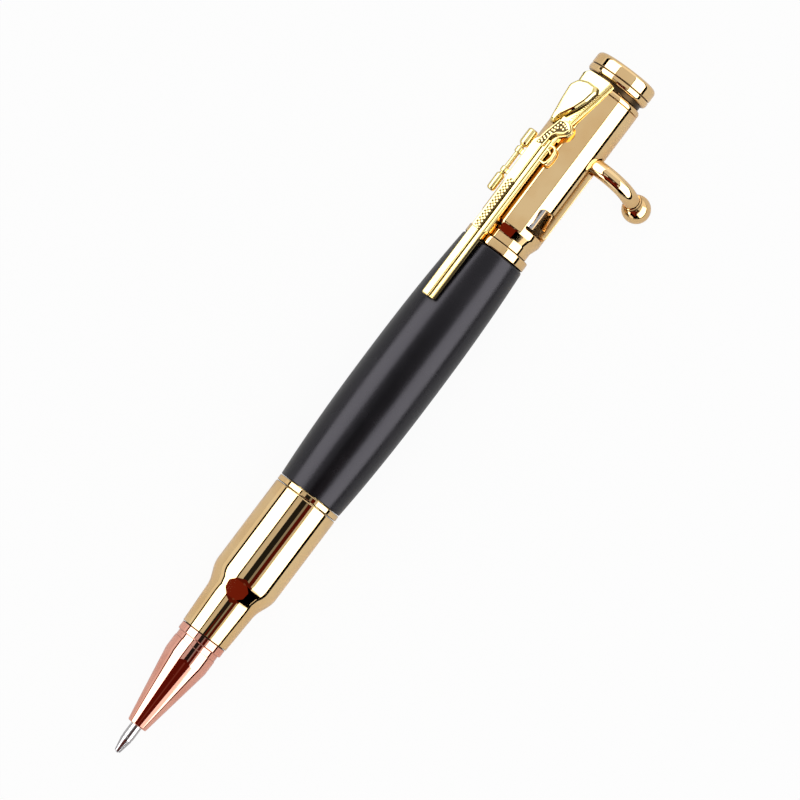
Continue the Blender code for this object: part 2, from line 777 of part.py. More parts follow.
def trim_ring(group, coat):
    """Narrow gold ring between barrel and cartridge."""
    bore = BARREL_TUBE_RADIUS - BARREL_TUBE_WALL
    corners = [
        (bore, TRIM_BACK, 0.0),
        (TRIM_RING_RADIUS, TRIM_BACK, TRIM_EDGE_ROUND),
        (TRIM_RING_RADIUS, TRIM_FRONT, TRIM_EDGE_ROUND),
        (bore, TRIM_FRONT, 0.0),
    ]
    return turned("trim_ring", rounded(corners, 1), OUTER_SIDES, group, coat)


def lower_coupler(group, coat):
    """Coupler through the trim ring, with a wider threaded head in the cartridge."""
    shank = BARREL_TUBE_RADIUS - BARREL_TUBE_WALL - FIT
    head = CARTRIDGE_BORE_RADIUS - FIT
    corners = sharp(
        (LOWER_BORE_RADIUS, TRIM_BACK + TUBE_SPIGOT_LENGTH),
        (shank, TRIM_BACK + TUBE_SPIGOT_LENGTH),
        (shank, CARTRIDGE_BACK),
        (head, CARTRIDGE_BACK),
        (head, CARTRIDGE_BACK - LOWER_HEAD_LENGTH),
        (LOWER_BORE_RADIUS, CARTRIDGE_BACK - LOWER_HEAD_LENGTH),
    )
    return turned("lower_coupler", rounded(corners), INNER_SIDES, group, coat)


def cartridge_body(group, coat):
    """Gold lower barrel: a straight body, a shoulder and a slightly tapered neck."""
    shoulder_back = CARTRIDGE_BACK - CARTRIDGE_BODY_LENGTH
    shoulder_front = shoulder_back - CARTRIDGE_SHOULDER_LENGTH
    wall = CARTRIDGE_BODY_RADIUS - CARTRIDGE_BORE_RADIUS
    corners = [
        (CARTRIDGE_BORE_RADIUS, CARTRIDGE_BACK, 0.0),
        (CARTRIDGE_BODY_RADIUS, CARTRIDGE_BACK, CARTRIDGE_EDGE_ROUND),
        (CARTRIDGE_BODY_RADIUS, shoulder_back, CARTRIDGE_SHOULDER_ROUND),
        (CARTRIDGE_NECK_BACK_RADIUS, shoulder_front, CARTRIDGE_SHOULDER_ROUND),
        (CARTRIDGE_NECK_FRONT_RADIUS, CARTRIDGE_FRONT, 0.0),
        (CARTRIDGE_NECK_BORE_RADIUS, CARTRIDGE_FRONT, 0.0),
        (CARTRIDGE_NECK_BORE_RADIUS, shoulder_front, 0.0),
        (CARTRIDGE_BORE_RADIUS, shoulder_back + wall, 0.0),
    ]
    return turned("cartridge_body", rounded(corners), OUTER_SIDES, group, coat)


def nose_cone(group, coat):
    """Copper nose: a ring, a narrow step, a cone, and a threaded spigot in the neck."""
    ring_front = NOSE_BACK - NOSE_RING_LENGTH
    step_front = ring_front - NOSE_STEP_LENGTH
    spigot = CARTRIDGE_NECK_BORE_RADIUS - FIT
    spigot_back = NOSE_BACK + NOSE_SPIGOT_LENGTH
    hole = NIB_TUBE_RADIUS + FIT
    spring_bore_back = NOSE_BORE_FRONT - (NOSE_BORE_RADIUS - NOSE_SPRING_BORE_RADIUS) / 2
    corners = [
        (NOSE_BORE_RADIUS, spigot_back, 0.0),
        (spigot, spigot_back, 0.0),
        (spigot, NOSE_BACK, 0.0),
        (NOSE_RING_RADIUS, NOSE_BACK, 0.0),
        (NOSE_RING_RADIUS, ring_front, NOSE_RING_ROUND),
        (NOSE_STEP_RADIUS, ring_front, 0.0),
        (NOSE_STEP_RADIUS, step_front, 0.0),
        (NOSE_SHOULDER_RADIUS, step_front, 0.0),
        (NOSE_SHOULDER_RADIUS, step_front - NOSE_SHOULDER_LENGTH, NOSE_SHOULDER_ROUND),
        (NOSE_TIP_RADIUS, NOSE_FRONT, NOSE_TIP_ROUND),
        (hole, NOSE_FRONT, 0.0),
        (hole, NOSE_SEAT, 0.0),
        (NOSE_SPRING_BORE_RADIUS, NOSE_SEAT, 0.0),
        (NOSE_SPRING_BORE_RADIUS, spring_bore_back, 0.0),
        (NOSE_BORE_RADIUS, NOSE_BORE_FRONT, 0.0),
    ]
    return turned("nose_cone", rounded(corners, 2), OUTER_SIDES, group, coat)


def refill_tube(group, coat):
    """Metal tube of the refill, open at the back, with a shoulder at the front."""
    inner = REFILL_RADIUS - REFILL_WALL
    hole = NIB_TUBE_RADIUS + FIT / 2
    corners = [
        (inner, REFILL_TUBE_BACK, 0.0),
        (REFILL_RADIUS, REFILL_TUBE_BACK, 0.0),
        (REFILL_RADIUS, REFILL_FRONT, REFILL_SHOULDER_ROUND),
        (hole, REFILL_FRONT, 0.0),
        (hole, REFILL_FRONT + NIB_TUBE_INSERT, 0.0),
        (inner, REFILL_FRONT + NIB_TUBE_INSERT, 0.0),
    ]
    return turned("refill_tube", rounded(corners, 2), INNER_SIDES, group, coat)


def refill_end_cap(group, coat):
    """Plug that closes the refill's back end, which the plunger pushes."""
    spigot = REFILL_RADIUS - REFILL_WALL - FIT
    corners = sharp(
        (0.0, REFILL_BACK),
        (REFILL_RADIUS - END_CAP_CHAMFER, REFILL_BACK),
        (REFILL_RADIUS, REFILL_BACK - END_CAP_CHAMFER),
        (REFILL_RADIUS, END_CAP_FRONT),
        (spigot, END_CAP_FRONT),
        (spigot, END_CAP_FRONT - END_CAP_SPIGOT_LENGTH),
        (0.0, END_CAP_FRONT - END_CAP_SPIGOT_LENGTH),
    )
    return turned("refill_end_cap", rounded(corners), INNER_SIDES, group, coat)


def nib_tube(group, coat):
    """Steel writing tip: a thin tube, a cone, and the socket that holds the ball."""
    back = REFILL_FRONT + NIB_TUBE_INSERT
    socket = BALL_RADIUS + BALL_PLAY
    socket_back = BALL_CENTRE + socket
    corners = sharp(
        (0.0, back),
        (NIB_TUBE_RADIUS, back),
        (NIB_TUBE_RADIUS, NIB_LIP + NIB_CONE_LENGTH),
        (NIB_LIP_RADIUS, NIB_LIP),
        (socket, NIB_LIP),
        (socket, socket_back),
        (0.0, socket_back),
    )
    return turned("nib_tube", rounded(corners), FINE_SIDES, group, coat)


def writing_ball(group, coat):
    """Steel ball that rolls in the nib's socket."""
    mesh = bpy.data.meshes.new("writing_ball")
    work = bmesh.new()
    bmesh.ops.create_uvsphere(work, u_segments=FINE_SIDES, v_segments=FINE_SIDES // 2, radius=BALL_RADIUS)
    work.to_mesh(mesh)
    work.free()
    made = new_object("writing_ball", mesh, group, coat)
    made.location = (BALL_CENTRE, 0.0, 0.0)
    made.rotation_euler = (0.0, math.pi / 2, 0.0)
    smooth(made)
    return made


def refill_spring(group, coat):
    """Coil spring between the seat in the nose and the refill's shoulder."""
    start = NOSE_SEAT + FIT + SPRING_WIRE_RADIUS
    end = REFILL_FRONT - FIT - SPRING_WIRE_RADIUS
    count = SPRING_TURNS * SPRING_TURN_POINTS
    pitch = (end - start) / SPRING_TURNS
    print("spring: least gap between turns, mm:", round((pitch - 2 * SPRING_WIRE_RADIUS) / MM, 3))
    curve = bpy.data.curves.new("refill_spring", "CURVE")
    curve.dimensions = "3D"
    curve.bevel_depth = SPRING_WIRE_RADIUS
    curve.bevel_resolution = 1
    curve.use_fill_caps = True
    spline = curve.splines.new("POLY")
    spline.points.add(count)
    for step in range(count + 1):
        turn = 2 * math.pi * step / SPRING_TURN_POINTS
        place = round_the_pen(turn, SPRING_RADIUS, start + (end - start) * step / count)
        spline.points[step].co = (*place, 1.0)
    return new_object("refill_spring", curve, group, coat)


def from_root(shares):
    """Turn shares of the clip's length and half width into points (x, y)."""
    return [(CLIP_ROOT - CLIP_LENGTH * along, CLIP_HALF_WIDTH * across) for along, across in shares]


def guard_hole():
    """Return the outline of the hole in the trigger guard."""
    guard = from_root(RIFLE_GUARD_SHARES)
    middle = (guard[1][0] + guard[-1][0]) / 2
    wall = (guard[1][0] - guard[-1][0] - GUARD_HOLE_LENGTH) / 2
    low = guard[3][1] + wall
    half = GUARD_HOLE_LENGTH / 2
    corners = [
        (middle - half, low, GUARD_HOLE_ROUND),
        (middle + half, low, GUARD_HOLE_ROUND),
        (middle + half, low + GUARD_HOLE_DEPTH, GUARD_HOLE_ROUND),
        (middle - half, low + GUARD_HOLE_DEPTH, GUARD_HOLE_ROUND),
    ]
    return rounded(corners, 2)


def rifle_body(cutters):
    """Return the raised body of the rifle: its forend, receiver, wrist and grip."""
    shares = RIFLE_TOP_SHARES + RIFLE_GRIP_SHARES + RIFLE_BOTTOM_SHARES
    return plate(
        "rifle_body_form",
        [from_root(shares)],
        CLIP_HEIGHT + CLIP_BODY_ROUND / 2,
        CLIP_HEIGHT + CLIP_BODY_THICKNESS,
        cutters,
        edge_round=CLIP_BODY_ROUND,
        inset=CLIP_BODY_INSET,
    )


def gun_tube(name, radius, offset, level, cutters):
    """Return one of the two tubes that reach the muzzle, with a blunt point."""
    start = Vector((CLIP_TIP, offset, level))
    end = start + Vector((GUN_BARREL_LENGTH, 0.0, 0.0))
    made = rod(name, radius, start, end, FINE_SIDES, cutters)
    soften = made.modifiers.new("soften", "BEVEL")
    soften.width = radius / 2
    soften.segments = 2
    soften.limit_method = "ANGLE"
    soften.angle_limit = math.radians(60.0)
    return made


def gun_tubes(cutters):
    """Return the rifle's barrel and the magazine tube beside it."""
    barrel_offset = CLIP_HALF_WIDTH * RIFLE_TOP_SHARES[0][1] - GUN_BARREL_RADIUS
    magazine_offset = CLIP_HALF_WIDTH * RIFLE_BOTTOM_SHARES[0][1] + MAGAZINE_RADIUS + CLIP_BODY_ROUND / 2
    return (
        gun_tube("gun_barrel_form", GUN_BARREL_RADIUS, barrel_offset, GUN_BARREL_LEVEL, cutters),
        gun_tube("magazine_form", MAGAZINE_RADIUS, magazine_offset, MAGAZINE_LEVEL, cutters),
    )


def scope(cutters):
    """Return the telescopic sight: two bells, a thin tube and its two rings."""
    def span(shares, radius):
        """Both ends of a stretch of one radius."""
        return [(radius, -SCOPE_LENGTH * share) for share in shares]

    outline = [(0.0, 0.0)]
    outline += span((0.0,), SCOPE_RING_RADIUS)
    outline += span(SCOPE_BELL_SHARES, SCOPE_BELL_RADIUS)
    for ring in (SCOPE_BACK_RING_SHARES, SCOPE_FRONT_RING_SHARES):
        outline += span(ring[:1], SCOPE_TUBE_RADIUS)
        outline += span(ring, SCOPE_RING_RADIUS)
        outline += span(ring[1:], SCOPE_TUBE_RADIUS)
    outline += span(SCOPE_FRONT_BELL_SHARES, SCOPE_BELL_RADIUS)
    outline += span((1.0,), SCOPE_RING_RADIUS)
    outline.append((0.0, -SCOPE_LENGTH))
    made = turned("scope_form", outline, FINE_SIDES, cutters, None)
    made.location = (CLIP_ROOT - SCOPE_SETBACK, SCOPE_OFFSET, SCOPE_LEVEL)
    return made


def scope_webs(cutters):
    """Return the two small mounts that join the scope's rings to the rifle."""
    webs = []
    for number, ring in enumerate((SCOPE_BACK_RING_SHARES, SCOPE_FRONT_RING_SHARES)):
        inset = SCOPE_WEB_THICKNESS / 4
        back = CLIP_ROOT - SCOPE_SETBACK - SCOPE_LENGTH * ring[0] - inset
        front = CLIP_ROOT - SCOPE_SETBACK - SCOPE_LENGTH * ring[1] + inset
        outline = [
            (back, CLIP_HALF_WIDTH / 2),
            (back, SCOPE_OFFSET),
            (front, SCOPE_OFFSET),
            (front, CLIP_HALF_WIDTH / 2),
        ]
        low = SCOPE_LEVEL - SCOPE_WEB_THICKNESS / 2
        webs.append(plate(f"scope_web_form_{number}", [outline], low, low + SCOPE_WEB_THICKNESS, cutters))
    return webs


def butt(cutters):
    """Return the swollen butt of the rifle."""
    back = CLIP_ROOT - BUTT_SETBACK
    outline = [(back - BUTT_LENGTH * along, BUTT_HALF_WIDTH * across) for along, across in BUTT_SHARES]
    low = CLIP_UNDERSIDE_RADIUS * math.cos(math.asin(BUTT_HALF_WIDTH / CLIP_UNDERSIDE_RADIUS)) - BUTT_ROUND
    return plate("butt_form", [outline], low, CLIP_HEIGHT + BUTT_HEIGHT, cutters, edge_round=BUTT_ROUND)


def wrist(cutters):
    """Return the block that joins the rifle's grip to the tail under it."""
    back = CLIP_ROOT - WRIST_SETBACK
    front = back - WRIST_LENGTH
    low = -WRIST_OFFSET - WRIST_HALF_WIDTH
    high = -WRIST_OFFSET + WRIST_HALF_WIDTH
    outline = [(back, low), (back, high), (front, high), (front, low)]
    top = CLIP_HEIGHT + CLIP_PLATE_THICKNESS / 2
    return plate("wrist_form", [outline], CLIP_UNDERSIDE_RADIUS - OVERRUN, top, cutters)


def tail(cutters):
    """Return the flared tail of the clip, wrapped over the receiver and the ring."""
    back = CLIP_ROOT + TAIL_OVERHANG
    front = CLIP_ROOT - TAIL_LENGTH
    corners = [
        (back, -TAIL_BACK_HALF_WIDTH, TAIL_CORNER_ROUND),
        (back, TAIL_BACK_HALF_WIDTH, TAIL_CORNER_ROUND),
        (front, TAIL_FRONT_HALF_WIDTH, 0.0),
        (front, -TAIL_FRONT_HALF_WIDTH, 0.0),
    ]
    made = plate("tail_form", [rounded(corners)], 0.0, CLIP_HEIGHT + OVERRUN, cutters)
    shell = rod(
        "tail_shell_form",
        CLIP_UNDERSIDE_RADIUS + TAIL_THICKNESS,
        (CLIP_ROOT + OVERRUN, 0.0, 0.0),
        (CLIP_ROOT - TAIL_LENGTH - OVERRUN, 0.0, 0.0),
        2 * OUTER_SIDES,
        cutters,
    )
    combine(made, shell, "INTERSECT")
    return made


def rifle_clip(group, cutters, coat):
    """Clip arm: the rifle plate with its raised body, tubes, scope, butt and tail, as one piece."""
    shares = RIFLE_MUZZLE_SHARES + RIFLE_TOP_SHARES + RIFLE_GRIP_SHARES + RIFLE_GUARD_SHARES
    made = plate(
        "rifle_clip",
        [from_root(shares + RIFLE_BOTTOM_SHARES), guard_hole()],
        CLIP_HEIGHT,
        CLIP_HEIGHT + CLIP_PLATE_THICKNESS,
        group,
        coat,
    )
    forms = (
        rifle_body(cutters),
        *gun_tubes(cutters),
        scope(cutters),
        *scope_webs(cutters),
        wrist(cutters),
        butt(cutters),
        tail(cutters),
    )
    for form in forms:
        combine(made, form, "UNION")
    clearance = rod(
        "clip_clearance_cutter",
        CLIP_UNDERSIDE_RADIUS,
        (CLIP_ROOT + OVERRUN, 0.0, 0.0),
        (CLIP_ROOT - CLIP_LENGTH / 2, 0.0, 0.0),
        2 * OUTER_SIDES,
        cutters,
    )
    combine(made, clearance, "DIFFERENCE")
    return made


def rest_turn():
    """Return the turn that looks straight up when the pen rests on its belly and its knob."""
    knob = knob_centre()
    knob_distance = math.hypot(knob.y, knob.z)
    knob_turn = math.atan2(-knob.y, knob.z)
    down = knob_turn + math.acos((BARREL_BELLY_RADIUS - KNOB_RADIUS) / knob_distance)
    return down - math.pi


def lay_down():
    """Roll the pen about its axis, so that it lies on its belly and its knob."""
    bpy.context.view_layer.update()
    roll = Matrix.Rotation(-rest_turn(), 4, "X")
    for thing in bpy.data.objects:
        if thing.parent is None:
            thing.matrix_world = roll @ thing.matrix_world


def main():
    """Build the pen, and hang each moving piece on an empty on its joint's axis."""
    clear_scene()
    pen = new_collection("ballpoint_pen")
    cutters = new_collection("cutters")

    gold = gold_plate()
    brass = bare_brass()
    steel = bright_steel()

    for fixed in (
        clip_ring(pen, gold),
        receiver_bush(pen, brass),
        receiver(pen, cutters, gold),
        upper_coupler(pen, gold),
        barrel_sleeve(pen, black_resin()),
        barrel_tube(pen, brass),
        trim_ring(pen, gold),
        lower_coupler(pen, brass),
        cartridge_body(pen, gold),
    ):
        smooth(fixed)

    bolt_axis = anchor("bolt_axis", pen, (STEM_STATION, 0.0, 0.0))
    carry(bolt_carrier(pen, cutters, brass), bolt_axis)
    carry(bolt_plunger(pen, steel), bolt_axis)
    carry(bolt_handle(pen, gold), bolt_axis)
    carry(bolt_knob(pen, gold), bolt_axis)

    refill_axis = anchor("refill_axis", pen, (REFILL_FRONT, 0.0, 0.0))
    carry(refill_tube(pen, refill_metal()), refill_axis)
    carry(refill_end_cap(pen, refill_plastic()), refill_axis)
    carry(nib_tube(pen, steel), refill_axis)
    carry(refill_spring(pen, steel), refill_axis)
    carry(writing_ball(pen, steel), refill_axis)

    nose_axis = anchor("nose_axis", pen, (NOSE_BACK, 0.0, 0.0))
    carry(nose_cone(pen, copper_plate()), nose_axis)

    finial_axis = anchor("finial_axis", pen, (FINIAL_FRONT, 0.0, 0.0))
    carry(finial(pen, gold), finial_axis)

    clip_hinge = anchor("clip_hinge", pen, (CLIP_ROOT, 0.0, CLIP_UNDERSIDE_RADIUS))
    carry(rifle_clip(pen, cutters, gold), clip_hinge)

    lay_down()
    bpy.context.view_layer.update()


main()
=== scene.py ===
"""Looks of a bolt-action ballpoint pen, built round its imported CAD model.

The pen lies along X on a pale table, and its writing point looks along -X. Shapes are made in
millimetres with the clip straight up, and Shape.finish rolls them to where the CAD has them. A turn
is the angle round the pen, from the clip towards the bolt's slot.
"""

import logging
import math
from collections.abc import Callable, Iterable, Sequence
from dataclasses import dataclass
from enum import Enum

import bmesh
import bpy
from mathutils import Matrix, Vector


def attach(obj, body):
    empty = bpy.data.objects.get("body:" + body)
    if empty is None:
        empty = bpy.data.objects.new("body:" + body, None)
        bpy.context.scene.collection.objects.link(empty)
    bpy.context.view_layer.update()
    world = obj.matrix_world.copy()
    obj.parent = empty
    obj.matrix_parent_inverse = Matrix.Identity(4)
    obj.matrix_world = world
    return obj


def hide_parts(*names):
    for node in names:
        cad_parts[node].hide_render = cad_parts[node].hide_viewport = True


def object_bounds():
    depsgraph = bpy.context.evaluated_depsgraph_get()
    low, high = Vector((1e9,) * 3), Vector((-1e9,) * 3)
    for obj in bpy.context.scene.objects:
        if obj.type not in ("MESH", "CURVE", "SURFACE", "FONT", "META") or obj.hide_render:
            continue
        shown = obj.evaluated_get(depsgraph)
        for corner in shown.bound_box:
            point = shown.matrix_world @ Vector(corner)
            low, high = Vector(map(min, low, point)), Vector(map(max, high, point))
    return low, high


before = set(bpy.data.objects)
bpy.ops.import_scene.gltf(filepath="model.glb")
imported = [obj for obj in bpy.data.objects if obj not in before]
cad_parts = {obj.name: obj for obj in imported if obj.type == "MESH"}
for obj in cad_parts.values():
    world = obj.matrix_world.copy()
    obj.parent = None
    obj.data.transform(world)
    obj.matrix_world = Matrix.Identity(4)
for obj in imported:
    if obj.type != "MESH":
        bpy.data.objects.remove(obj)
cad_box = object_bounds()

log = logging.getLogger("pen")

MM = 0.001
REST_TURN = 0.46828
MERGE_DISTANCE = 0.0004
HOLD = 0.03
CORNER_HOLD = 0.09
FILLET_STEPS = 6
LATHE_STEPS = 112
SEAM = 0.06
CREASE = math.radians(32.0)
EDGE_ATTRIBUTE = "edge"
RECESS_ATTRIBUTE = "recess"
BORE_ATTRIBUTE = "bore"
FILM_SCALE = 160.0
HAIRLINE_SCALE = 2500.0
WAVE_SCALE = 320.0
HAIRLINE_DEPTH = 0.0001
WAVE_DEPTH = 0.0005
RING_DEPTH = 0.00002
RING_STRENGTH = 0.25
# Painted shade: recesses, seams, concave creases and undersides darken towards this near-black colour, by up
# to this share.
PAINTED_SHADE_SHARE = 0.97
PAINTED_SHADE_COLOUR = (0.035, 0.02, 0.01)

Corner = tuple[float, float, float]
Point = tuple[float, float]
Colour = tuple[float, float, float]
Links = dict[str | int, object]
Socket = bpy.types.NodeSocket
# A recess mask, from 0 to 1, which the finishes paint as shade.
Recess = Callable[[Vector], float]
Loop = list[bmesh.types.BMEdge]


class Body(Enum):
    """The CAD's bodies that pieces ride on."""

    PEN = "pen_body"
    NOSE = "nose"
    BOLT = "bolt"
    REFILL = "refill"
    CLIP = "clip"
    CAP = "cap"


class Slot(Enum):
    """The record's material slots."""

    GOLD = "gold_plate"
    COPPER = "copper_plate"
    RESIN = "black_resin"
    BRASS = "bare_brass"
    STEEL = "bright_steel"
    REFILL = "refill_metal"
    PLASTIC = "refill_plastic"


def filleted(corners: Sequence[Corner], closed: bool = False, steps: int = FILLET_STEPS) -> list[Vector]:
    """Round the corners of an outline, and hold its straight runs straight beside each arc.

    Args:
        corners: Corners (u, v, fillet radius) in order.
        closed: Whether the outline runs back to its first corner.
        steps: Number of chords in each arc.

    Returns:
        The points of the rounded outline.
    """
    points: list[Vector] = []
    count = len(corners)
    for index, (u, v, fillet) in enumerate(corners):
        corner = Vector((u, v))
        if not closed and index in (0, count - 1):
            points.append(corner)
            continue
        before = Vector(corners[index - 1][:2]) - corner
        after = Vector(corners[(index + 1) % count][:2]) - corner
        if not fillet:
            if not closed and before.length > 4 * CORNER_HOLD:
                points.append(corner + before.normalized() * CORNER_HOLD)
            points.append(corner)
            if not closed and after.length > 4 * CORNER_HOLD:
                points.append(corner + after.normalized() * CORNER_HOLD)
            continue
        half = before.angle(after) / 2
        reach = fillet / math.tan(half)
        centre = corner + (before.normalized() + after.normalized()).normalized() * fillet / math.sin(half)
        start = corner + before.normalized() * reach - centre
        end = corner + after.normalized() * reach - centre
        sweep = -start.angle_signed(end)
        if before.length > reach + 2 * HOLD:
            points.append(centre + start + before.normalized() * HOLD)
        for step in range(steps + 1):
            points.append(centre + Matrix.Rotation(sweep * step / steps, 2) @ start)
        if after.length > reach + 2 * HOLD:
            points.append(centre + end + after.normalized() * HOLD)
    return points


def about_pen(turn: float, distance: float, station: float = 0.0) -> Vector:
    """Return the point at a turn from the clip and a distance from the pen's axis.

    Args:
        turn: Angle round the pen, in radians.
        distance: Distance from the axis.
        station: Place along the axis.

    Returns:
        The point, with the clip straight up.
    """
    return Vector((station, -math.sin(turn) * distance, math.cos(turn) * distance))


def quarter_round(steps: int) -> list[Point]:
    """Return the steps (in, up) of a rounded rim of radius 1.

    Args:
        steps: Number of chords.

    Returns:
        The chords, from the wall to the top.
    """
    angles = [math.pi / 2 * step / steps for step in range(steps + 1)]
    return [(math.cos(a) - math.cos(b), math.sin(b) - math.sin(a)) for a, b in zip(angles, angles[1:])]


def facing_up(face: bmesh.types.BMFace) -> bmesh.types.BMFace:
    """Turn a flat face until it looks up.

    Args:
        face: The face.

    Returns:
        The same face.
    """
    face.normal_update()
    if face.normal.z < 0:
        face.normal_flip()
    return face


def new_object(name: str, mesh: bmesh.types.BMesh, material: bpy.types.Material) -> bpy.types.Object:
    """Make an object of a mesh, which is used up.

    Args:
        name: The object's name.
        mesh: Its mesh.
        material: Its material.

    Returns:
        The object, in the scene.
    """
    data = bpy.data.meshes.new(name)
    mesh.to_mesh(data)
    mesh.free()
    data.materials.append(material)
    made = bpy.data.objects.new(name, data)
    bpy.context.scene.collection.objects.link(made)
    return made


def section_frames(route: Sequence[Vector], radii: Sequence[float]) -> list[Matrix]:
    """Return the place and size of each section along a route, without twist.

    Args:
        route: Centres of the sections.
        radii: Their radii.

    Returns:
        One matrix for each section.
    """
    last = len(route) - 1
    tangents = [(route[min(i + 1, last)] - route[max(i - 1, 0)]).normalized() for i in range(last + 1)]
    turn = tangents[0].to_track_quat("Z", "Y")
    places = []
    for index, (centre, radius) in enumerate(zip(route, radii)):
        if index:
            turn = tangents[index - 1].rotation_difference(tangents[index]) @ turn
        size = Matrix.Scale(max(radius, 0.001), 4)
        places.append(Matrix.Translation(centre) @ turn.to_matrix().to_4x4() @ size)
    return places


class Shape:
    """A mesh in the making, in millimetres and with the clip straight up."""

    def __init__(self) -> None:
        """Start with an empty mesh."""
        self.mesh = bmesh.new()

    def clean(self) -> "Shape":
        """Merge doubles and turn all faces outwards."""
        bmesh.ops.remove_doubles(self.mesh, verts=self.mesh.verts, dist=MERGE_DISTANCE)
        bmesh.ops.recalc_face_normals(self.mesh, faces=self.mesh.faces)
        return self

    def move(self, matrix: Matrix) -> "Shape":
        """Transform the whole mesh, and return this shape."""
        bmesh.ops.transform(self.mesh, matrix=matrix, verts=self.mesh.verts)
        return self

    def add(self, *others: "Shape") -> "Shape":
        """Take in the meshes of other shapes, which are used up.

        Args:
            others: Shapes that become part of this one.

        Returns:
            This shape.
        """
        for other in others:
            carrier = bpy.data.meshes.new("carrier")
            other.mesh.to_mesh(carrier)
            other.mesh.free()
            self.mesh.from_mesh(carrier)
            bpy.data.meshes.remove(carrier)
        return self

    def lathe(self, outline: Sequence[Vector], steps: int = LATHE_STEPS, ring: bool = False) -> "Shape":
        """Turn an outline of (station, radius) about the pen's axis.

        Args:
            outline: Points along the profile.
            steps: Number of sides.
            ring: Whether the profile closes on itself, as for a piece with a bore.

        Returns:
            This shape.
        """
        verts = [self.mesh.verts.new((point.x, 0.0, point.y)) for point in outline]
        pairs = list(zip(verts, verts[1:])) + ([(verts[-1], verts[0])] if ring else [])
        edges = [self.mesh.edges.new(pair) for pair in pairs]
        middle = (0.0, 0.0, 0.0)
        turn = {"cent": middle, "axis": (1.0, 0.0, 0.0), "dvec": middle, "angle": 2 * math.pi}
        bmesh.ops.spin(self.mesh, geom=verts + edges, steps=steps, use_merge=True, **turn)
        return self.clean()

    def face(self, outline: Iterable[Vector], height: float) -> bmesh.types.BMFace:
        """Make one flat face from an outline.

        Args:
            outline: Points (x, y) round the face.
            height: The face's height.

        Returns:
            The face, looking up.
        """
        verts = [self.mesh.verts.new((point.x, point.y, height)) for point in outline]
        return facing_up(self.mesh.faces.new(verts))

    def slab(self, outline: Iterable[Vector], low: float, high: float, rim: float) -> "Shape":
        """Raise an outline to a plate whose upper rim is rounded.

        Args:
            outline: Points (x, y) round the plate.
            low: Height of its underside.
            high: Height of its top.
            rim: Radius of the rounded rim.

        Returns:
            This shape.
        """
        base = self.face(outline, low)
        raised = bmesh.ops.extrude_face_region(self.mesh, geom=[base])["geom"]
        top = [item for item in raised if isinstance(item, bmesh.types.BMFace)]
        verts = [item for item in raised if isinstance(item, bmesh.types.BMVert)]
        bmesh.ops.translate(self.mesh, vec=(0.0, 0.0, high - low - rim), verts=verts)
        for inwards, upwards in quarter_round(FILLET_STEPS):
            self.inset(top, rim * inwards, rim * upwards)
        self.inset(top, HOLD, 0.0)
        return self.clean()

    def inset(self, faces: list[bmesh.types.BMFace], thickness: float, depth: float) -> None:
        """Inset a region of faces, and raise it.

        Args:
            faces: The region.
            thickness: Width of the new border.
            depth: How far the region rises.
        """
        for item in faces:
            item.normal_update()
        how = {"thickness": thickness, "depth": depth, "use_boundary": True, "use_even_offset": True}
        bmesh.ops.inset_region(self.mesh, faces=faces, **how)

    def grow(self, loop: Loop) -> tuple[list[bmesh.types.BMVert], Loop]:
        """Extrude a loop of edges where it lies.

        Args:
            loop: The loop's edges.

        Returns:
            The new loop's vertices and its edges.
        """
        made = bmesh.ops.extrude_edge_only(self.mesh, edges=loop)["geom"]
        verts = [item for item in made if isinstance(item, bmesh.types.BMVert)]
        inside = set(verts)
        edges = [item for item in made if isinstance(item, bmesh.types.BMEdge)]
        return verts, [edge for edge in edges if all(vert in inside for vert in edge.verts)]

    def dome(self, outline: Sequence[Vector], centre: Point, levels: Sequence[Point]) -> "Shape":
        """Close an outline with a smooth dome over a flat foot.

        Args:
            outline: Points (x, y) round the foot.
            centre: The point (x, y) under the crown.
            levels: Pairs (share of the outline's size, height), from the foot to the crown.

        Returns:
            This shape.
        """
        loop = list(self.face(outline, levels[0][1]).edges)
        pivot = Matrix.Translation((-centre[0], -centre[1], 0.0))
        for (share, height), (next_share, next_height) in zip(levels, levels[1:]):
            verts, loop = self.grow(loop)
            factor = next_share / share
            bmesh.ops.scale(self.mesh, vec=(factor, factor, 1.0), space=pivot, verts=verts)
            bmesh.ops.translate(self.mesh, vec=(0.0, 0.0, next_height - height), verts=verts)
        return self.clean()

    def sweep(self, route: Sequence[Vector], radii: Sequence[float], sides: int = 20) -> "Shape":
        """Carry a circle along a route.

        Args:
            route: Centres of the circles.
            radii: Radius of each circle.
            sides: Number of sides of the circle.

        Returns:
            This shape, closed at both ends.
        """
        places = section_frames(route, radii)
        ring = bmesh.ops.create_circle(self.mesh, cap_ends=True, segments=sides, radius=1.0, matrix=places[0])
        loop = list({edge for vert in ring["verts"] for edge in vert.link_edges})
        for here, there in zip(places, places[1:]):
            verts, loop = self.grow(loop)
            bmesh.ops.transform(self.mesh, matrix=there @ here.inverted(), verts=verts)
        bmesh.ops.edgeloop_fill(self.mesh, edges=loop)
        return self.clean()

    def slice(self, axis: int, stations: Iterable[float]) -> None:
        """Cut edges into the mesh at places along one axis.

        Args:
            axis: 0, 1 or 2 for x, y or z.
            stations: Where to cut.
        """
        normal = Vector((0.0, 0.0, 0.0))
        normal[axis] = 1.0
        for station in stations:
            everything = list(self.mesh.verts) + list(self.mesh.edges) + list(self.mesh.faces)
            plane = {"plane_co": normal * station, "plane_no": normal, "dist": MERGE_DISTANCE / 4}
            bmesh.ops.bisect_plane(self.mesh, geom=everything, **plane)

    def wrap(self, radius_at: Callable[[float], float], reference: float) -> None:
        """Wrap a flat sheet round the pen: y becomes the turn and z the height over the surface.

        Args:
            radius_at: Gives the surface's radius at a station.
            reference: The radius at which y is measured.
        """
        for vert in self.mesh.verts:
            station, along, height = vert.co
            vert.co = about_pen(along / reference, radius_at(station) + height, station)

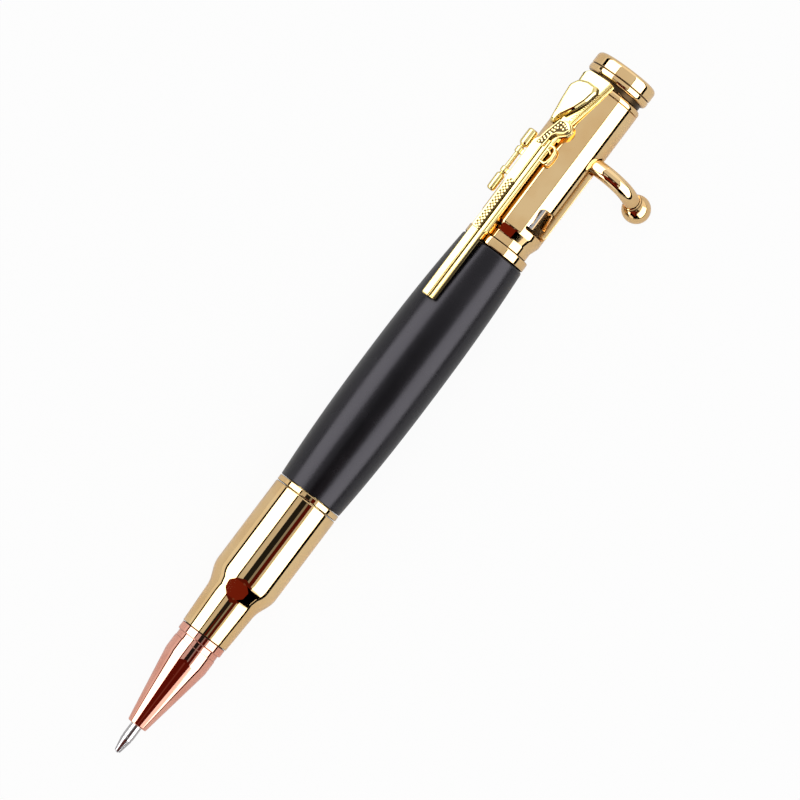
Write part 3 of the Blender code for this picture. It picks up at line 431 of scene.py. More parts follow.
    def thicken_inwards(self, radius: float) -> "Shape":
        """Give a wrapped sheet its thickness, down to an inner radius.

        Args:
            radius: Radius of the inner face.

        Returns:
            This shape.
        """
        made = bmesh.ops.extrude_face_region(self.mesh, geom=list(self.mesh.faces))["geom"]
        for vert in (item for item in made if isinstance(item, bmesh.types.BMVert)):
            across = Vector((vert.co.y, vert.co.z)).normalized() * radius
            vert.co = (vert.co.x, across.x, across.y)
        return self.clean()

    def mark_edges(self, recess_at: Recess, bore: float) -> None:
        """Shade the mesh smooth with creases, and store its edges, and its recesses and concave creases as
        painted shade, for the finishes.

        Args:
            recess_at: Gives how deep in a recess a point lies, from 0 to 1, which the finishes paint as
                shade.
            bore: Distance from the pen's axis up to which a surface is left unpolished.
        """
        edges = self.mesh.verts.layers.float.new(EDGE_ATTRIBUTE)
        recesses = self.mesh.verts.layers.float.new(RECESS_ATTRIBUTE)
        bores = self.mesh.loops.layers.float.new(BORE_ATTRIBUTE)
        for item in self.mesh.faces:
            item.smooth = True
            inside = all(math.hypot(vert.co.y, vert.co.z) < bore for vert in item.verts)
            for corner in item.loops:
                corner[bores] = float(inside)
        for vert in self.mesh.verts:
            vert[recesses] = recess_at(vert.co)
        for edge in self.mesh.edges:
            angle = edge.calc_face_angle_signed(math.pi)
            edge.smooth = abs(angle) < CREASE
            # Concave creases join the recesses, which the finishes darken as painted shade; convex edges feed
            # the worn edges.
            layer = edges if angle > 0 else recesses
            for vert in edge.verts:
                vert[layer] = max(vert[layer], min(1.0, abs(angle) / CREASE))

    def finish(
        self,
        name: str,
        body: Body,
        finish: "Finish",
        *stands_for: str,
        recess_at: Recess = lambda place: 0.0,
        bore: float = 0.0,
    ) -> bpy.types.Object:
        """Make the finished piece: place, shading, material and body.

        Args:
            name: The piece's name.
            body: The body it rides on.
            finish: Its finish.
            stands_for: CAD nodes that it replaces.
            recess_at: Gives how deep in a recess a point lies, from 0 to 1, which the finish paints as shade.
            bore: Distance from the pen's axis up to which a surface is left unpolished.

        Returns:
            The new object.
        """
        self.mark_edges(recess_at, bore)
        self.move(Matrix.Rotation(-REST_TURN, 4, "X") @ Matrix.Scale(MM, 4))
        made = new_object(name, self.mesh, finish.material())
        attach(made, body.value)
        if stands_for:
            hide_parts(*stands_for)
        log.info("%s: %d faces on %s", name, len(made.data.polygons), body.value)
        return made


def turned(
    corners: Sequence[Corner], arc: int = FILLET_STEPS, sides: int = LATHE_STEPS, ring: bool = True
) -> Shape:
    """Turn a filleted profile about the pen's axis.

    Args:
        corners: Corners (station, radius, fillet radius) in order.
        arc: Number of chords in each fillet.
        sides: Number of sides.
        ring: Whether the profile closes on itself, as for a piece with a bore.

    Returns:
        The turned shape.
    """
    return Shape().lathe(filleted(corners, steps=arc), sides, ring)


def plate(corners: Sequence[Corner], low: float, high: float, rim: float, arc: int = FILLET_STEPS) -> Shape:
    """Raise a filleted outline to a plate with a rounded rim.

    Args:
        corners: Corners (x, y, fillet radius) in order.
        low: Height of its underside.
        high: Height of its top.
        rim: Radius of the rounded rim.
        arc: Number of chords in each fillet.

    Returns:
        The plate.
    """
    return Shape().slab(filleted(corners, closed=True, steps=arc), low, high, rim)


def flat_rod(corners: Sequence[Corner], level: float, radius: float, sides: int, taper: float = 0.0) -> Shape:
    """Bend a round rod along a filleted line at one height.

    Args:
        corners: Corners (x, y, fillet radius) in order.
        level: The height.
        radius: The rod's radius at its start.
        sides: Number of sides.
        taper: How much thinner its end is.

    Returns:
        The rod.
    """
    route = [Vector((point.x, point.y, level)) for point in filleted(corners)]
    last = len(route) - 1
    return Shape().sweep(route, [radius - taper * index / last for index in range(last + 1)], sides)


def profile_reader(profile: Sequence[Vector]) -> Callable[[float], float]:
    """Return a function that reads the radius of a profile of (station, radius).

    Args:
        profile: Points whose stations fall.

    Returns:
        The function from station to radius.
    """

    def radius_at(station: float) -> float:
        """Read the radius on the straight line between a station's two neighbours.

        Args:
            station: The place along the axis.

        Returns:
            The radius there.
        """
        for start, end in zip(profile, profile[1:]):
            if end.x <= station <= start.x and start.x > end.x:
                return start.y + (end.y - start.y) * (start.x - station) / (start.x - end.x)
        return profile[0].y if station > profile[0].x else profile[-1].y

    return radius_at


def end_seams(front: float, back: float, back_reach: float = SEAM) -> Recess:
    """Return the painted shade at the seams at both ends of a piece, as a recess.

    Args:
        front: Station of its front end.
        back: Station of its back end.
        back_reach: How far the seam at the back end reaches.

    Returns:
        The recess, painted as shade, at a place.
    """
    return lambda place: 1.0 if place.x < front + SEAM or place.x > back - back_reach else 0.0


def below(level: float, fade: float) -> Recess:
    """Return a recess, painted as shade, that deepens below a height.

    Args:
        level: Height where it starts.
        fade: How far below that it is full.

    Returns:
        The recess at a place.
    """
    return lambda place: min(1.0, max(0.0, (level - place.z) / fade))


class Wiring:
    """A node tree and short ways to fill it."""

    def __init__(self, tree: bpy.types.NodeTree) -> None:
        """Take the tree to work in."""
        self.tree = tree

    @classmethod
    def of(cls, owner: bpy.types.Material | bpy.types.World) -> "Wiring":
        """Return the emptied tree of a material or a world.

        Args:
            owner: The material or the world.

        Returns:
            Its tree, ready to fill.
        """
        owner.use_nodes = True
        owner.node_tree.nodes.clear()
        return cls(owner.node_tree)

    def node(self, kind: str, links: Links | None = None, **settings: object) -> bpy.types.Node:
        """Add a node, set its properties, and link or set its inputs.

        Args:
            kind: The node's type.
            links: Input name or index, with a value or an output socket.
            settings: Properties of the node itself.

        Returns:
            The new node.
        """
        made = self.tree.nodes.new(kind)
        for key, value in settings.items():
            setattr(made, key, value)
        for key, value in (links or {}).items():
            if isinstance(value, Socket):
                self.tree.links.new(value, made.inputs[key])
            else:
                made.inputs[key].default_value = value
        return made

    def calculate(self, operation: str, *values: object) -> Socket:
        """Work out a sum or a product, and return its socket."""
        return self.node("ShaderNodeMath", dict(enumerate(values)), operation=operation).outputs[0]

    def attribute(self, name: str) -> Socket:
        """Return the socket of an attribute that Shape.mark_edges stores."""
        return self.node("ShaderNodeAttribute", attribute_name=name).outputs["Fac"]

    def ramp(self, value: Socket, low: float, high: float, start: float = 0.0, end: float = 1.0) -> Socket:
        """Map a value from one range to another, clamped.

        Args:
            value: The value's socket.
            low: Where the range starts.
            high: Where it ends.
            start: What low becomes.
            end: What high becomes.

        Returns:
            The result's socket.
        """
        links = {"Value": value, "From Min": low, "From Max": high, "To Min": start, "To Max": end}
        return self.node("ShaderNodeMapRange", links).outputs["Result"]

    def blend(self, share: Socket, first: Socket | Colour, second: Socket | Colour) -> Socket:
        """Mix two colours.

        Args:
            share: How much of the second.
            first: A colour or its socket.
            second: A colour or its socket.

        Returns:
            The mixed colour's socket.
        """
        pair = [item if isinstance(item, Socket) else (*item, 1.0) for item in (first, second)]
        links = {"Factor": share, 6: pair[0], 7: pair[1]}
        return self.node("ShaderNodeMix", links, data_type="RGBA").outputs[2]

    def bump(self, height: Socket, strength: float, distance: float, normal: Socket | None = None) -> Socket:
        """Turn a height into a normal.

        Args:
            height: The height's socket.
            strength: The bump's strength.
            distance: The height's size, in metres.
            normal: The normal to add to.

        Returns:
            The normal's socket.
        """
        links = {"Height": height, "Strength": strength, "Distance": distance}
        if normal is not None:
            links["Normal"] = normal
        return self.node("ShaderNodeBump", links).outputs[0]


@dataclass(frozen=True)
class Effect:
    """A node group that finishes share, built when it is first used."""

    name: str
    inputs: dict[str, float | None]
    output: str
    fill: Callable[[Wiring, Sequence[Socket]], Socket]

    def tree(self) -> bpy.types.NodeTree:
        """Return the group. An input without a default value is a vector."""
        found = bpy.data.node_groups.get(self.name)
        if found:
            return found
        group = bpy.data.node_groups.new(self.name, "ShaderNodeTree")
        for key, value in self.inputs.items():
            kind = "NodeSocketVector" if value is None else "NodeSocketFloat"
            made = group.interface.new_socket(name=key, in_out="INPUT", socket_type=kind)
            if value is not None:
                made.default_value = value
        group.interface.new_socket(name=self.output, in_out="OUTPUT", socket_type="NodeSocketFloat")
        wires = Wiring(group)
        wires.node("NodeGroupOutput", {0: self.fill(wires, wires.node("NodeGroupInput").outputs)})
        return group

    def use(self, wires: Wiring, links: Links) -> Socket:
        """Place the group in a tree, and return its result."""
        return wires.node("ShaderNodeGroup", links, node_tree=self.tree()).outputs[0]


def fill_film(wires: Wiring, given: Sequence[Socket]) -> Socket:
    """Wire soft clouds, from 0 to 1, and return their socket."""
    links = {"Vector": given[0], "Scale": given[1], "Detail": 3.0}
    return wires.ramp(wires.node("ShaderNodeTexNoise", links).outputs[0], 0.38, 0.68)


def fill_hairlines(wires: Wiring, given: Sequence[Socket]) -> Socket:
    """Wire noise that is drawn out along the pen.

    Args:
        wires: The group's tree.
        given: The group's inputs.

    Returns:
        The noise's socket.
    """
    stretch = wires.node("ShaderNodeCombineXYZ", {"X": given[2], "Y": 1.0, "Z": 1.0}).outputs[0]
    place = wires.node("ShaderNodeVectorMath", {0: given[0], 1: stretch}, operation="MULTIPLY").outputs[0]
    return wires.node("ShaderNodeTexNoise", {"Vector": place, "Scale": given[1], "Detail": 2.0}).outputs[0]


def fill_rings(wires: Wiring, given: Sequence[Socket]) -> Socket:
    """Wire rings round the pen's axis, and return their socket."""
    links = {"Vector": given[0], "Scale": given[1], "Distortion": 0.6, "Detail": 1.0}
    return wires.node("ShaderNodeTexWave", links, bands_direction="X", wave_profile="SIN").outputs[1]


def fill_worn_edges(wires: Wiring, given: Sequence[Socket]) -> Socket:
    """Wire an edge mask that noise breaks up.

    Args:
        wires: The group's tree.
        given: The group's inputs.

    Returns:
        The mask's socket.
    """
    links = {"Vector": given[0], "Scale": 900.0, "Detail": 2.0}
    patchy = wires.ramp(wires.node("ShaderNodeTexNoise", links).outputs[0], 0.4, 0.65, 0.25, 1.0)
    return wires.calculate("MULTIPLY", patchy, wires.ramp(given[1], 0.3, 1.0))


FILM = Effect("thin_film", {"Vector": None, "Scale": 120.0}, "Mask", fill_film)
HAIRLINES = Effect("hairlines", {"Vector": None, "Scale": 2500.0, "Stretch": 0.04}, "Height", fill_hairlines)
TOOL_RINGS = Effect("tool_rings", {"Vector": None, "Scale": 900.0}, "Height", fill_rings)
WORN_EDGES = Effect("worn_edges", {"Vector": None, "Edge": 0.0}, "Mask", fill_worn_edges)


@dataclass(frozen=True)
class Finish:
    """A surface finish: a colour that deepens in a thin film and at its edges, darkens to painted shade in
    recesses, seams and creases, and has fine relief.
    """

    name: str
    slot: Slot
    colour: Colour
    deep_colour: Colour
    roughness: float
    film_roughness: float
    metallic: float = 1.0
    relief: float = 0.02
    stretch: float = 0.04
    waviness: float = 0.0
    ring_scale: float = 0.0
    edge_share: float = 0.4
    specular: float = 0.5
    tint: Colour = (1.0, 1.0, 1.0)
    worn_roughness: float = 0.08
    recess_roughness: float = 0.3
    bore_roughness: float = 0.35
    bore_dullness: float = 0.75

    def material(self) -> bpy.types.Material:
        """Return the finish's material, built once."""
        found = bpy.data.materials.get(self.name)
        if found:
            return found
        made = bpy.data.materials.new(self.name)
        wires = Wiring.of(made)
        place = wires.node("ShaderNodeTexCoord").outputs["Object"]
        film = FILM.use(wires, {"Vector": place, "Scale": FILM_SCALE})
        worn = WORN_EDGES.use(wires, {"Vector": place, "Edge": wires.attribute(EDGE_ATTRIBUTE)})
        worn = wires.calculate("MULTIPLY", worn, self.edge_share)
        # Painted shade: the recess attribute darkens the colour towards near-black in seams, creases, the
        # slot and undersides.
        painted_shade = wires.ramp(wires.attribute(RECESS_ATTRIBUTE), 0.2, 1.0, 0.0, PAINTED_SHADE_SHARE)
        inside = wires.attribute(BORE_ATTRIBUTE)
        colour = wires.blend(film, self.colour, self.deep_colour)
        colour = wires.blend(worn, colour, self.deep_colour)
        rough = wires.ramp(film, 0.0, 1.0, self.roughness, self.film_roughness)
        for mask, more in (
            (worn, self.worn_roughness), (painted_shade, self.recess_roughness), (inside, self.bore_roughness),
        ):
            rough = wires.calculate("MULTIPLY_ADD", mask, more, rough)
        links = {
            "Base Color": wires.blend(painted_shade, colour, PAINTED_SHADE_COLOUR),
            "Roughness": rough,
            "Metallic": wires.calculate("MULTIPLY_ADD", inside, -self.bore_dullness, self.metallic),
            "Specular IOR Level": self.specular,
            "Specular Tint": (*self.tint, 1.0),
            "Normal": self.relief_normal(wires, place),
        }
        shader = wires.node("ShaderNodeBsdfPrincipled", links)
        wires.node("ShaderNodeOutputMaterial", {"Surface": shader.outputs[0]})
        return made

    def relief_normal(self, wires: Wiring, place: Socket) -> Socket:
        """Wire the finish's relief: hairlines, the lathe's rings and soft waves.

        Args:
            wires: The material's tree.
            place: The socket of the object coordinates.

        Returns:
            The normal's socket.
        """
        links = {"Vector": place, "Scale": HAIRLINE_SCALE, "Stretch": self.stretch}
        normal = wires.bump(HAIRLINES.use(wires, links), self.relief, HAIRLINE_DEPTH)
        if self.ring_scale:
            rings = TOOL_RINGS.use(wires, {"Vector": place, "Scale": self.ring_scale})
            normal = wires.bump(rings, RING_STRENGTH, RING_DEPTH, normal)
        if self.waviness:
            waves = wires.node("ShaderNodeTexNoise", {"Vector": place, "Scale": WAVE_SCALE, "Detail": 1.0})
            normal = wires.bump(waves.outputs[0], self.waviness, WAVE_DEPTH, normal)
        return normal


POLISHED_GOLD = Finish(
    "polished_gold", Slot.GOLD, (0.94, 0.67, 0.345), (0.88, 0.58, 0.27), 0.03, 0.055, relief=0.01
)
CAST_GOLD = Finish(
    "cast_gold", Slot.GOLD, (0.92, 0.76, 0.35), (0.82, 0.63, 0.26), 0.06, 0.12, waviness=0.06, edge_share=0.5
)
POLISHED_COPPER = Finish(
    "polished_copper", Slot.COPPER, (0.95, 0.47, 0.355), (0.88, 0.38, 0.27), 0.035, 0.07, relief=0.01
)
SATIN_RESIN = Finish(
    "satin_resin", Slot.RESIN, (0.0022, 0.002, 0.0027), (0.0034, 0.0031, 0.004), 0.25, 0.29,
    metallic=0.0, relief=0.03, edge_share=0.3, specular=0.43, tint=(0.93, 0.89, 1.0),
)
TURNED_BRASS = Finish(
    "turned_brass", Slot.BRASS, (0.76, 0.58, 0.28), (0.62, 0.44, 0.18), 0.22, 0.34,
    ring_scale=700.0, edge_share=0.5,
)
BRIGHT_STEEL = Finish(
    "bright_steel_finish", Slot.STEEL, (0.62, 0.61, 0.61), (0.48, 0.47, 0.48), 0.1, 0.18, ring_scale=1200.0
)
DRAWN_METAL = Finish(
    "drawn_metal", Slot.REFILL, (0.64, 0.64, 0.66), (0.5, 0.5, 0.52), 0.24, 0.38, relief=0.08
)
MOULDED_GREY = Finish(
    "moulded_grey", Slot.PLASTIC, (0.2, 0.2, 0.22), (0.15, 0.15, 0.17), 0.42, 0.55, metallic=0.0, stretch=1.0
)


def dress(node: str, finish: Finish) -> None:
    """Give a CAD node that stays in the scene its finish.

    Args:
        node: The node's name.
        finish: The finish.
    """
    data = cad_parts[node].data
    data.materials.clear()
    data.materials.append(finish.material())
    log.info("%s: dressed in %s", node, finish.name)


class SubAssembly:
    """A group of pieces that one class builds and dresses."""

    def build(self) -> list[bpy.types.Object]:
        """Make the pieces, and return them."""
        raise NotImplementedError


@dataclass
class Nose(SubAssembly):
    """The copper nose cone, with its bore and its threaded spigot."""

    back: float = -117.99
    ring_front: float = -119.44
    step_front: float = -120.54
    shoulder_front: float = -123.14
    front: float = -136.64
    spigot_back: float = -113.19
    ring_radius: float = 4.28
    step_radius: float = 3.94
    shoulder_radius: float = 4.04
    tip_radius: float = 1.78
    spigot_radius: float = 3.75
    chamfer: float = 0.2
    thread_start: float = 0.5
    thread_depth: float = 0.16
    thread_pitch: float = 0.6
    thread_turns: int = 6
    bore: float = 3.15
    bore_front: float = -125.39
    bore_cone: float = 0.4
    spring_bore: float = 2.1
    seat: float = -130.99
    hole: float = 1.23

    def spigot(self) -> list[Corner]:
        """Return the corners of the spigot's thread, from its back end to the ring."""
        crest = self.spigot_radius
        corners: list[Corner] = [(self.spigot_back, crest - self.chamfer, 0.0)]
        corners.append((self.spigot_back - self.chamfer, crest, 0.0))
        for number in range(self.thread_turns + 1):
            station = self.spigot_back - self.thread_start - number * self.thread_pitch
            corners.append((station, crest, 0.0))
            if number < self.thread_turns:
                corners.append((station - self.thread_pitch / 2, crest - self.thread_depth, 0.0))
        return corners + [(self.back, crest, 0.0)]

    def at_seams(self, place: Vector) -> float:
        """Return the painted shade in the seam behind the ring and in the corner in front of it.

        Args:
            place: The point.

        Returns:
            The recess, from 0 to 1.
        """
        radius = math.hypot(place.y, place.z)
        behind = self.back - SEAM < place.x < self.back + 0.1 and radius > self.spigot_radius - 0.02
        before = abs(place.x - self.ring_front) < 0.1 and 0.03 < radius - self.step_radius < 0.27
        return 1.0 if behind or before else 0.0

    def build(self) -> list[bpy.types.Object]:
        """Turn the nose cone, and return it."""
        corners: list[Corner] = [
            (self.spigot_back, self.bore, 0.0),
            *self.spigot(),
            (self.back, self.ring_radius, 0.06), (self.ring_front, self.ring_radius, 0.2),
            (self.ring_front, self.step_radius, 0.06), (self.step_front, self.step_radius, 0.0),
            (self.step_front, self.shoulder_radius, 0.05),
            (self.shoulder_front, self.shoulder_radius, 4.0), (self.front, self.tip_radius, 0.22),
            (self.front, self.hole, 0.06), (self.seat, self.hole, 0.0),
            (self.seat, self.spring_bore, 0.0), (self.bore_front + self.bore_cone, self.spring_bore, 0.0),
            (self.bore_front, self.bore, 0.0),
        ]
        nose = turned(corners)
        return [nose.finish("nose", Body.NOSE, POLISHED_COPPER, "nose_cone", recess_at=self.at_seams)]


@dataclass
class Cartridge(SubAssembly):
    """The gold lower barrel, shaped as a cartridge, and the trim ring behind it."""

    back: float = -89.82
    front: float = -117.87
    radius: float = 6.0
    shoulder_back: float = -107.02
    shoulder_front: float = -110.07
    shoulder_round: float = 5.0
    neck_back_radius: float = 4.75
    neck_front_radius: float = 4.4
    bore: float = 5.1
    bore_front: float = -106.12
    neck_bore: float = 3.95
    edge: float = 0.22
    ring_back: float = -88.7
    ring_front: float = -89.7
    ring_bore: float = 4.45
    ring_edge: float = 0.16

    def build(self) -> list[bpy.types.Object]:
        """Turn the lower barrel and its ring, and return them."""
        body = turned([
            (self.back, self.bore, 0.0), (self.back, self.radius, self.edge),
            (self.shoulder_back, self.radius, self.shoulder_round),
            (self.shoulder_front, self.neck_back_radius, self.shoulder_round),
            (self.front, self.neck_front_radius, 0.06), (self.front, self.neck_bore, 0.0),
            (self.shoulder_front, self.neck_bore, 0.0), (self.bore_front, self.bore, 0.0),
        ], arc=10)
        ring = turned([
            (self.ring_back, self.ring_bore, 0.0), (self.ring_back, self.radius, self.ring_edge),
            (self.ring_front, self.radius, self.ring_edge), (self.ring_front, self.ring_bore, 0.0),
        ])
        # The seams at both ends of body and ring get painted shade.
        seams = end_seams(self.front, self.back)
        ring_seams = end_seams(self.ring_front, self.ring_back)
        return [
            body.finish("cartridge", Body.PEN, POLISHED_GOLD, "cartridge_body", recess_at=seams),
            ring.finish("trim_band", Body.PEN, POLISHED_GOLD, "trim_ring", recess_at=ring_seams),
        ]


@dataclass
class Barrel(SubAssembly):
    """The black sleeve, and the hidden tubes and couplers that it sits on."""

    back: float = -37.83
    front: float = -88.58
    belly: float = 6.8
    end: float = 5.98
    bore: float = 5.0
    power: float = 2.3
    stations: int = 72
    back_edge: float = 0.45
    front_edge: float = 0.12

    def build(self) -> list[bpy.types.Object]:
        """Turn the sleeve, dress the hidden tubes, and return the sleeve."""
        edges = {0: self.back_edge, self.stations: self.front_edge}
        corners: list[Corner] = [(self.back, self.bore, 0.0)]
        for step in range(self.stations + 1):
            share = 2 * step / self.stations - 1
            radius = self.belly - (self.belly - self.end) * abs(share) ** self.power
            station = self.back + (self.front - self.back) * step / self.stations
            corners.append((station, radius, edges.get(step, 0.0)))
        corners.append((self.front, self.bore, 0.0))
        for node in ("barrel_tube", "lower_coupler"):
            dress(node, TURNED_BRASS)
        return [turned(corners).finish("sleeve", Body.PEN, SATIN_RESIN, "barrel_sleeve")]


@dataclass
class Receiver(SubAssembly):
    """The gold tube with the bolt's slot and notch, and the collar in front of it."""

    radius: float = 5.8
    bore: float = 4.5
    back: float = -5.64
    cove_back: float = -32.94
    groove_back: float = -34.54
    front: float = -35.99
    groove_radius: float = 5.2
    end_edge: float = 0.08
    slot_back: float = -14.59
    slot_front: float = -31.79
    notch_back: float = -27.29
    slot_width: float = 3.1
    slot_turn: float = math.radians(103.5)
    notch_turn: float = math.radians(54.5)
    rim: float = 0.14
    strips: int = 240
    rings: int = 9
    ring_gap: float = 3.0
    collar_back: float = -36.11
    collar_front: float = -37.71
    collar_radius: float = 5.9
    coupler_bore: float = 3.75
    spigot_radius: float = 4.3
    upper_spigot: float = 2.8
    tube_spigot_radius: float = 4.25
    tube_spigot: float = 5.0

    def profile(self) -> list[Vector]:
        """Return the tube's outer profile, from its back end to its front end."""
        return filleted([
            (self.back, self.radius - self.end_edge, 0.0), (self.back - self.end_edge, self.radius, 0.0),
            (self.cove_back, self.radius, 1.0), (self.groove_back, self.groove_radius, 0.5),
            (self.front + self.end_edge, self.groove_radius, 0.0),
            (self.front, self.groove_radius - self.end_edge, 0.0),
        ])

    def in_slot(self, place: Vector) -> float:
        """Return the painted shade of the slot's lower wall, deepest at the bore.

        Args:
            place: The point.

        Returns:
            The recess, from 0 to 1.
        """
        lower = self.slot_turn < math.atan2(-place.y, place.z) < self.slot_turn + 0.32
        inside = self.slot_front < place.x < self.slot_back
        at_bore = math.hypot(place.y, place.z) < self.bore + 0.05
        return 0.9 if lower and inside and at_bore else 0.0

    def opening(self) -> list[Vector]:
        """Return the outline of slot and notch, on the unrolled surface, at the outside of their rim."""
        centre = self.slot_turn * self.radius
        half = self.slot_width / 2 + self.rim
        near = self.notch_turn * self.radius - self.rim
        back = self.slot_back + self.rim
        front = self.slot_front - self.rim
        notch = self.notch_back + self.rim
        corners: list[Corner] = [
            (back, centre + half, half - 0.02), (front, centre + half, half - 0.02), (front, near, 0.45),
            (notch, near, 1.3 + self.rim), (notch, centre - half - 0.3, 1.0),
            (self.notch_back - 0.75, centre - half, 0.2), (back, centre - half, half - 0.02),
        ]
        return filleted(corners, closed=True, steps=10)

    def tube(self) -> Shape:
        """Cut the openings in a flat sheet, round their rim, and roll it to a tube."""
        shape = Shape()
        mesh = shape.mesh
        around = 2 * math.pi * self.radius
        sheet = [(self.front, 0.0), (self.back, 0.0), (self.back, around), (self.front, around)]
        borders = [[mesh.verts.new((*point, 0.0)) for point in loop] for loop in (sheet, self.opening())]
        edges = [mesh.edges.new(pair) for verts in borders for pair in zip(verts, verts[1:] + verts[:1])]
        bmesh.ops.triangle_fill(mesh, edges=edges, use_beauty=True, normal=(0.0, 0.0, 1.0))
        plug = facing_up(mesh.faces.new(borders[1]))
        for inwards, upwards in quarter_round(4):
            shape.inset([plug], self.rim * upwards, -self.rim * inwards)
        bmesh.ops.delete(mesh, geom=[plug], context="FACES_ONLY")
        profile = self.profile()
        rings = [self.back - self.ring_gap * step for step in range(1, self.rings + 1)]
        shape.slice(0, [point.x for point in profile[1:-1]] + rings)
        shape.slice(1, [around * step / self.strips for step in range(1, self.strips)])
        shape.wrap(profile_reader(profile), self.radius)
        return shape.clean().thicken_inwards(self.bore)

    def coupler(self) -> Shape:
        """Turn the coupler, whose collar shows between barrel and receiver."""
        back = self.collar_back + self.upper_spigot
        front = self.collar_front - self.tube_spigot
        return turned([
            (back, self.coupler_bore, 0.0), (back, self.spigot_radius, 0.2),
            (self.collar_back, self.spigot_radius, 0.0), (self.collar_back, self.collar_radius, 0.22),
            (self.collar_front, self.collar_radius, 0.14),
            (self.collar_front, self.tube_spigot_radius, 0.0), (front, self.tube_spigot_radius, 0.2),
            (front, self.coupler_bore, 0.0),
        ])

    def build(self) -> list[bpy.types.Object]:
        """Make tube and coupler, dress the bush, and return the new pieces."""
        dress("receiver_bush", TURNED_BRASS)
        # The coupler's seams and the slot's lower wall get painted shade.
        seams = end_seams(self.collar_front, self.collar_back, 0.08)
        masks = {"recess_at": self.in_slot, "bore": self.bore + 0.02}
        tube, coupler = self.tube(), self.coupler()
        return [
            tube.finish("receiver_tube", Body.PEN, POLISHED_GOLD, "receiver", **masks),
            coupler.finish("collar_coupler", Body.PEN, POLISHED_GOLD, "upper_coupler", recess_at=seams),
        ]


@dataclass
class Bolt(SubAssembly):
    """The bolt: carrier and plunger in the receiver, and the curved handle with its knob."""

    station: float = -16.25
    stem_radius: float = 1.43
    turn: float = math.radians(103.0)
    receiver_radius: float = 5.8
    stub: float = 1.17
    bend_radius: float = 5.2
    bend_turn: float = math.radians(74.4)
    tail: float = 1.48
    sweep_radius: float = 52.0
    steps: int = 40
    stem_start: float = 2.4
    knob_radius: float = 2.5
    knob_steps: int = 32
    collar_radius: float = 1.62
    collar_length: float = 0.4
    collar_edge: float = 0.1
    seam: float = 0.12
    carrier_front: float = -18.5
    carrier_back: float = -10.3
    carrier_radius: float = 4.3
    carrier_bore: float = 2.2
    plunger_radius: float = 3.5
    plunger_step: float = -18.62
    plunger_front: float = -31.32
    shank_radius: float = 2.0

    def route(self) -> tuple[list[Vector], Vector]:
        """Return the stem's centreline and the direction in which it leaves for the knob."""
        outward = about_pen(self.turn, 1.0)
        sideways = about_pen(self.turn + math.pi / 2, 1.0)
        forward = Vector((-1.0, 0.0, 0.0))
        start = about_pen(self.turn, self.receiver_radius, self.station)
        points = [about_pen(self.turn, self.stem_start, self.station)]
        arc = self.bend_radius * self.bend_turn
        length = self.stub + arc + self.tail
        bend = 0.0
        for step in range(self.steps + 1):
            travelled = length * step / self.steps
            bend = min(max(travelled - self.stub, 0.0), arc) / self.bend_radius
            before, after = min(travelled, self.stub), max(travelled - self.stub - arc, 0.0)
            out = before + self.bend_radius * math.sin(bend) + after * math.cos(bend)
            aside = self.bend_radius * (1 - math.cos(bend)) + after * math.sin(bend)
            place = start + outward * out + sideways * aside
            points.append(place + forward * travelled**2 / (2 * self.sweep_radius))
        leaving = outward * math.cos(bend) + sideways * math.sin(bend) + forward * length / self.sweep_radius
        return points, leaving.normalized()

    def handle(self) -> Shape:
        """Carry the stem's section along its centreline."""
        points, _ = self.route()
        points.insert(1, points[0].lerp(points[1], 0.5))
        return Shape().sweep(points, [self.stem_radius] * len(points), sides=40)

    def knob(self) -> Shape:
        """Turn the ball with its collar, and set it on the stem's end."""
        foot = math.sqrt(self.knob_radius**2 - self.collar_radius**2) + self.collar_length
        sweep = math.pi - math.asin(self.collar_radius / self.knob_radius)
        angles = [sweep * step / self.knob_steps for step in range(self.knob_steps + 1)]
        outline = [Vector((self.knob_radius * math.cos(a), self.knob_radius * math.sin(a))) for a in angles]
        outline.append(Vector((-foot + self.collar_edge, self.collar_radius)))
        outline.append(Vector((-foot, self.collar_radius - self.collar_edge)))
        outline.append(Vector((-foot, 0.0)))
        points, leaving = self.route()
        place = Matrix.Translation(points[-1] + leaving * (self.seam + foot))
        facing = leaving.to_track_quat("X", "Z").to_matrix().to_4x4()
        return Shape().lathe(outline, steps=64).move(place @ facing)

    def carrier(self) -> Shape:
        """Turn the sleeve that slides in the receiver."""
        return turned([
            (self.carrier_back, self.carrier_bore, 0.0), (self.carrier_back, self.carrier_radius, 0.25),
            (self.carrier_front, self.carrier_radius, 0.25), (self.carrier_front, self.carrier_bore, 0.0),
        ], sides=72)

    def plunger(self) -> Shape:
        """Turn the steel rod that pushes the refill."""
        return turned([
            (self.carrier_back, 0.0, 0.0), (self.carrier_back, self.shank_radius, 0.15),
            (self.plunger_step, self.shank_radius, 0.0), (self.plunger_step, self.plunger_radius, 0.15),
            (self.plunger_front, self.plunger_radius, 0.35), (self.plunger_front, 0.0, 0.0),
        ], sides=72, ring=False)

    def build(self) -> list[bpy.types.Object]:
        """Make the bolt's four pieces, and return them."""
        return [
            self.handle().finish("handle_stem", Body.BOLT, POLISHED_GOLD, "bolt_handle"),
            self.knob().finish("handle_knob", Body.BOLT, POLISHED_GOLD, "bolt_knob"),
            self.carrier().finish("carrier_sleeve", Body.BOLT, TURNED_BRASS, "bolt_carrier"),
            self.plunger().finish("plunger_rod", Body.BOLT, BRIGHT_STEEL, "bolt_plunger"),
        ]


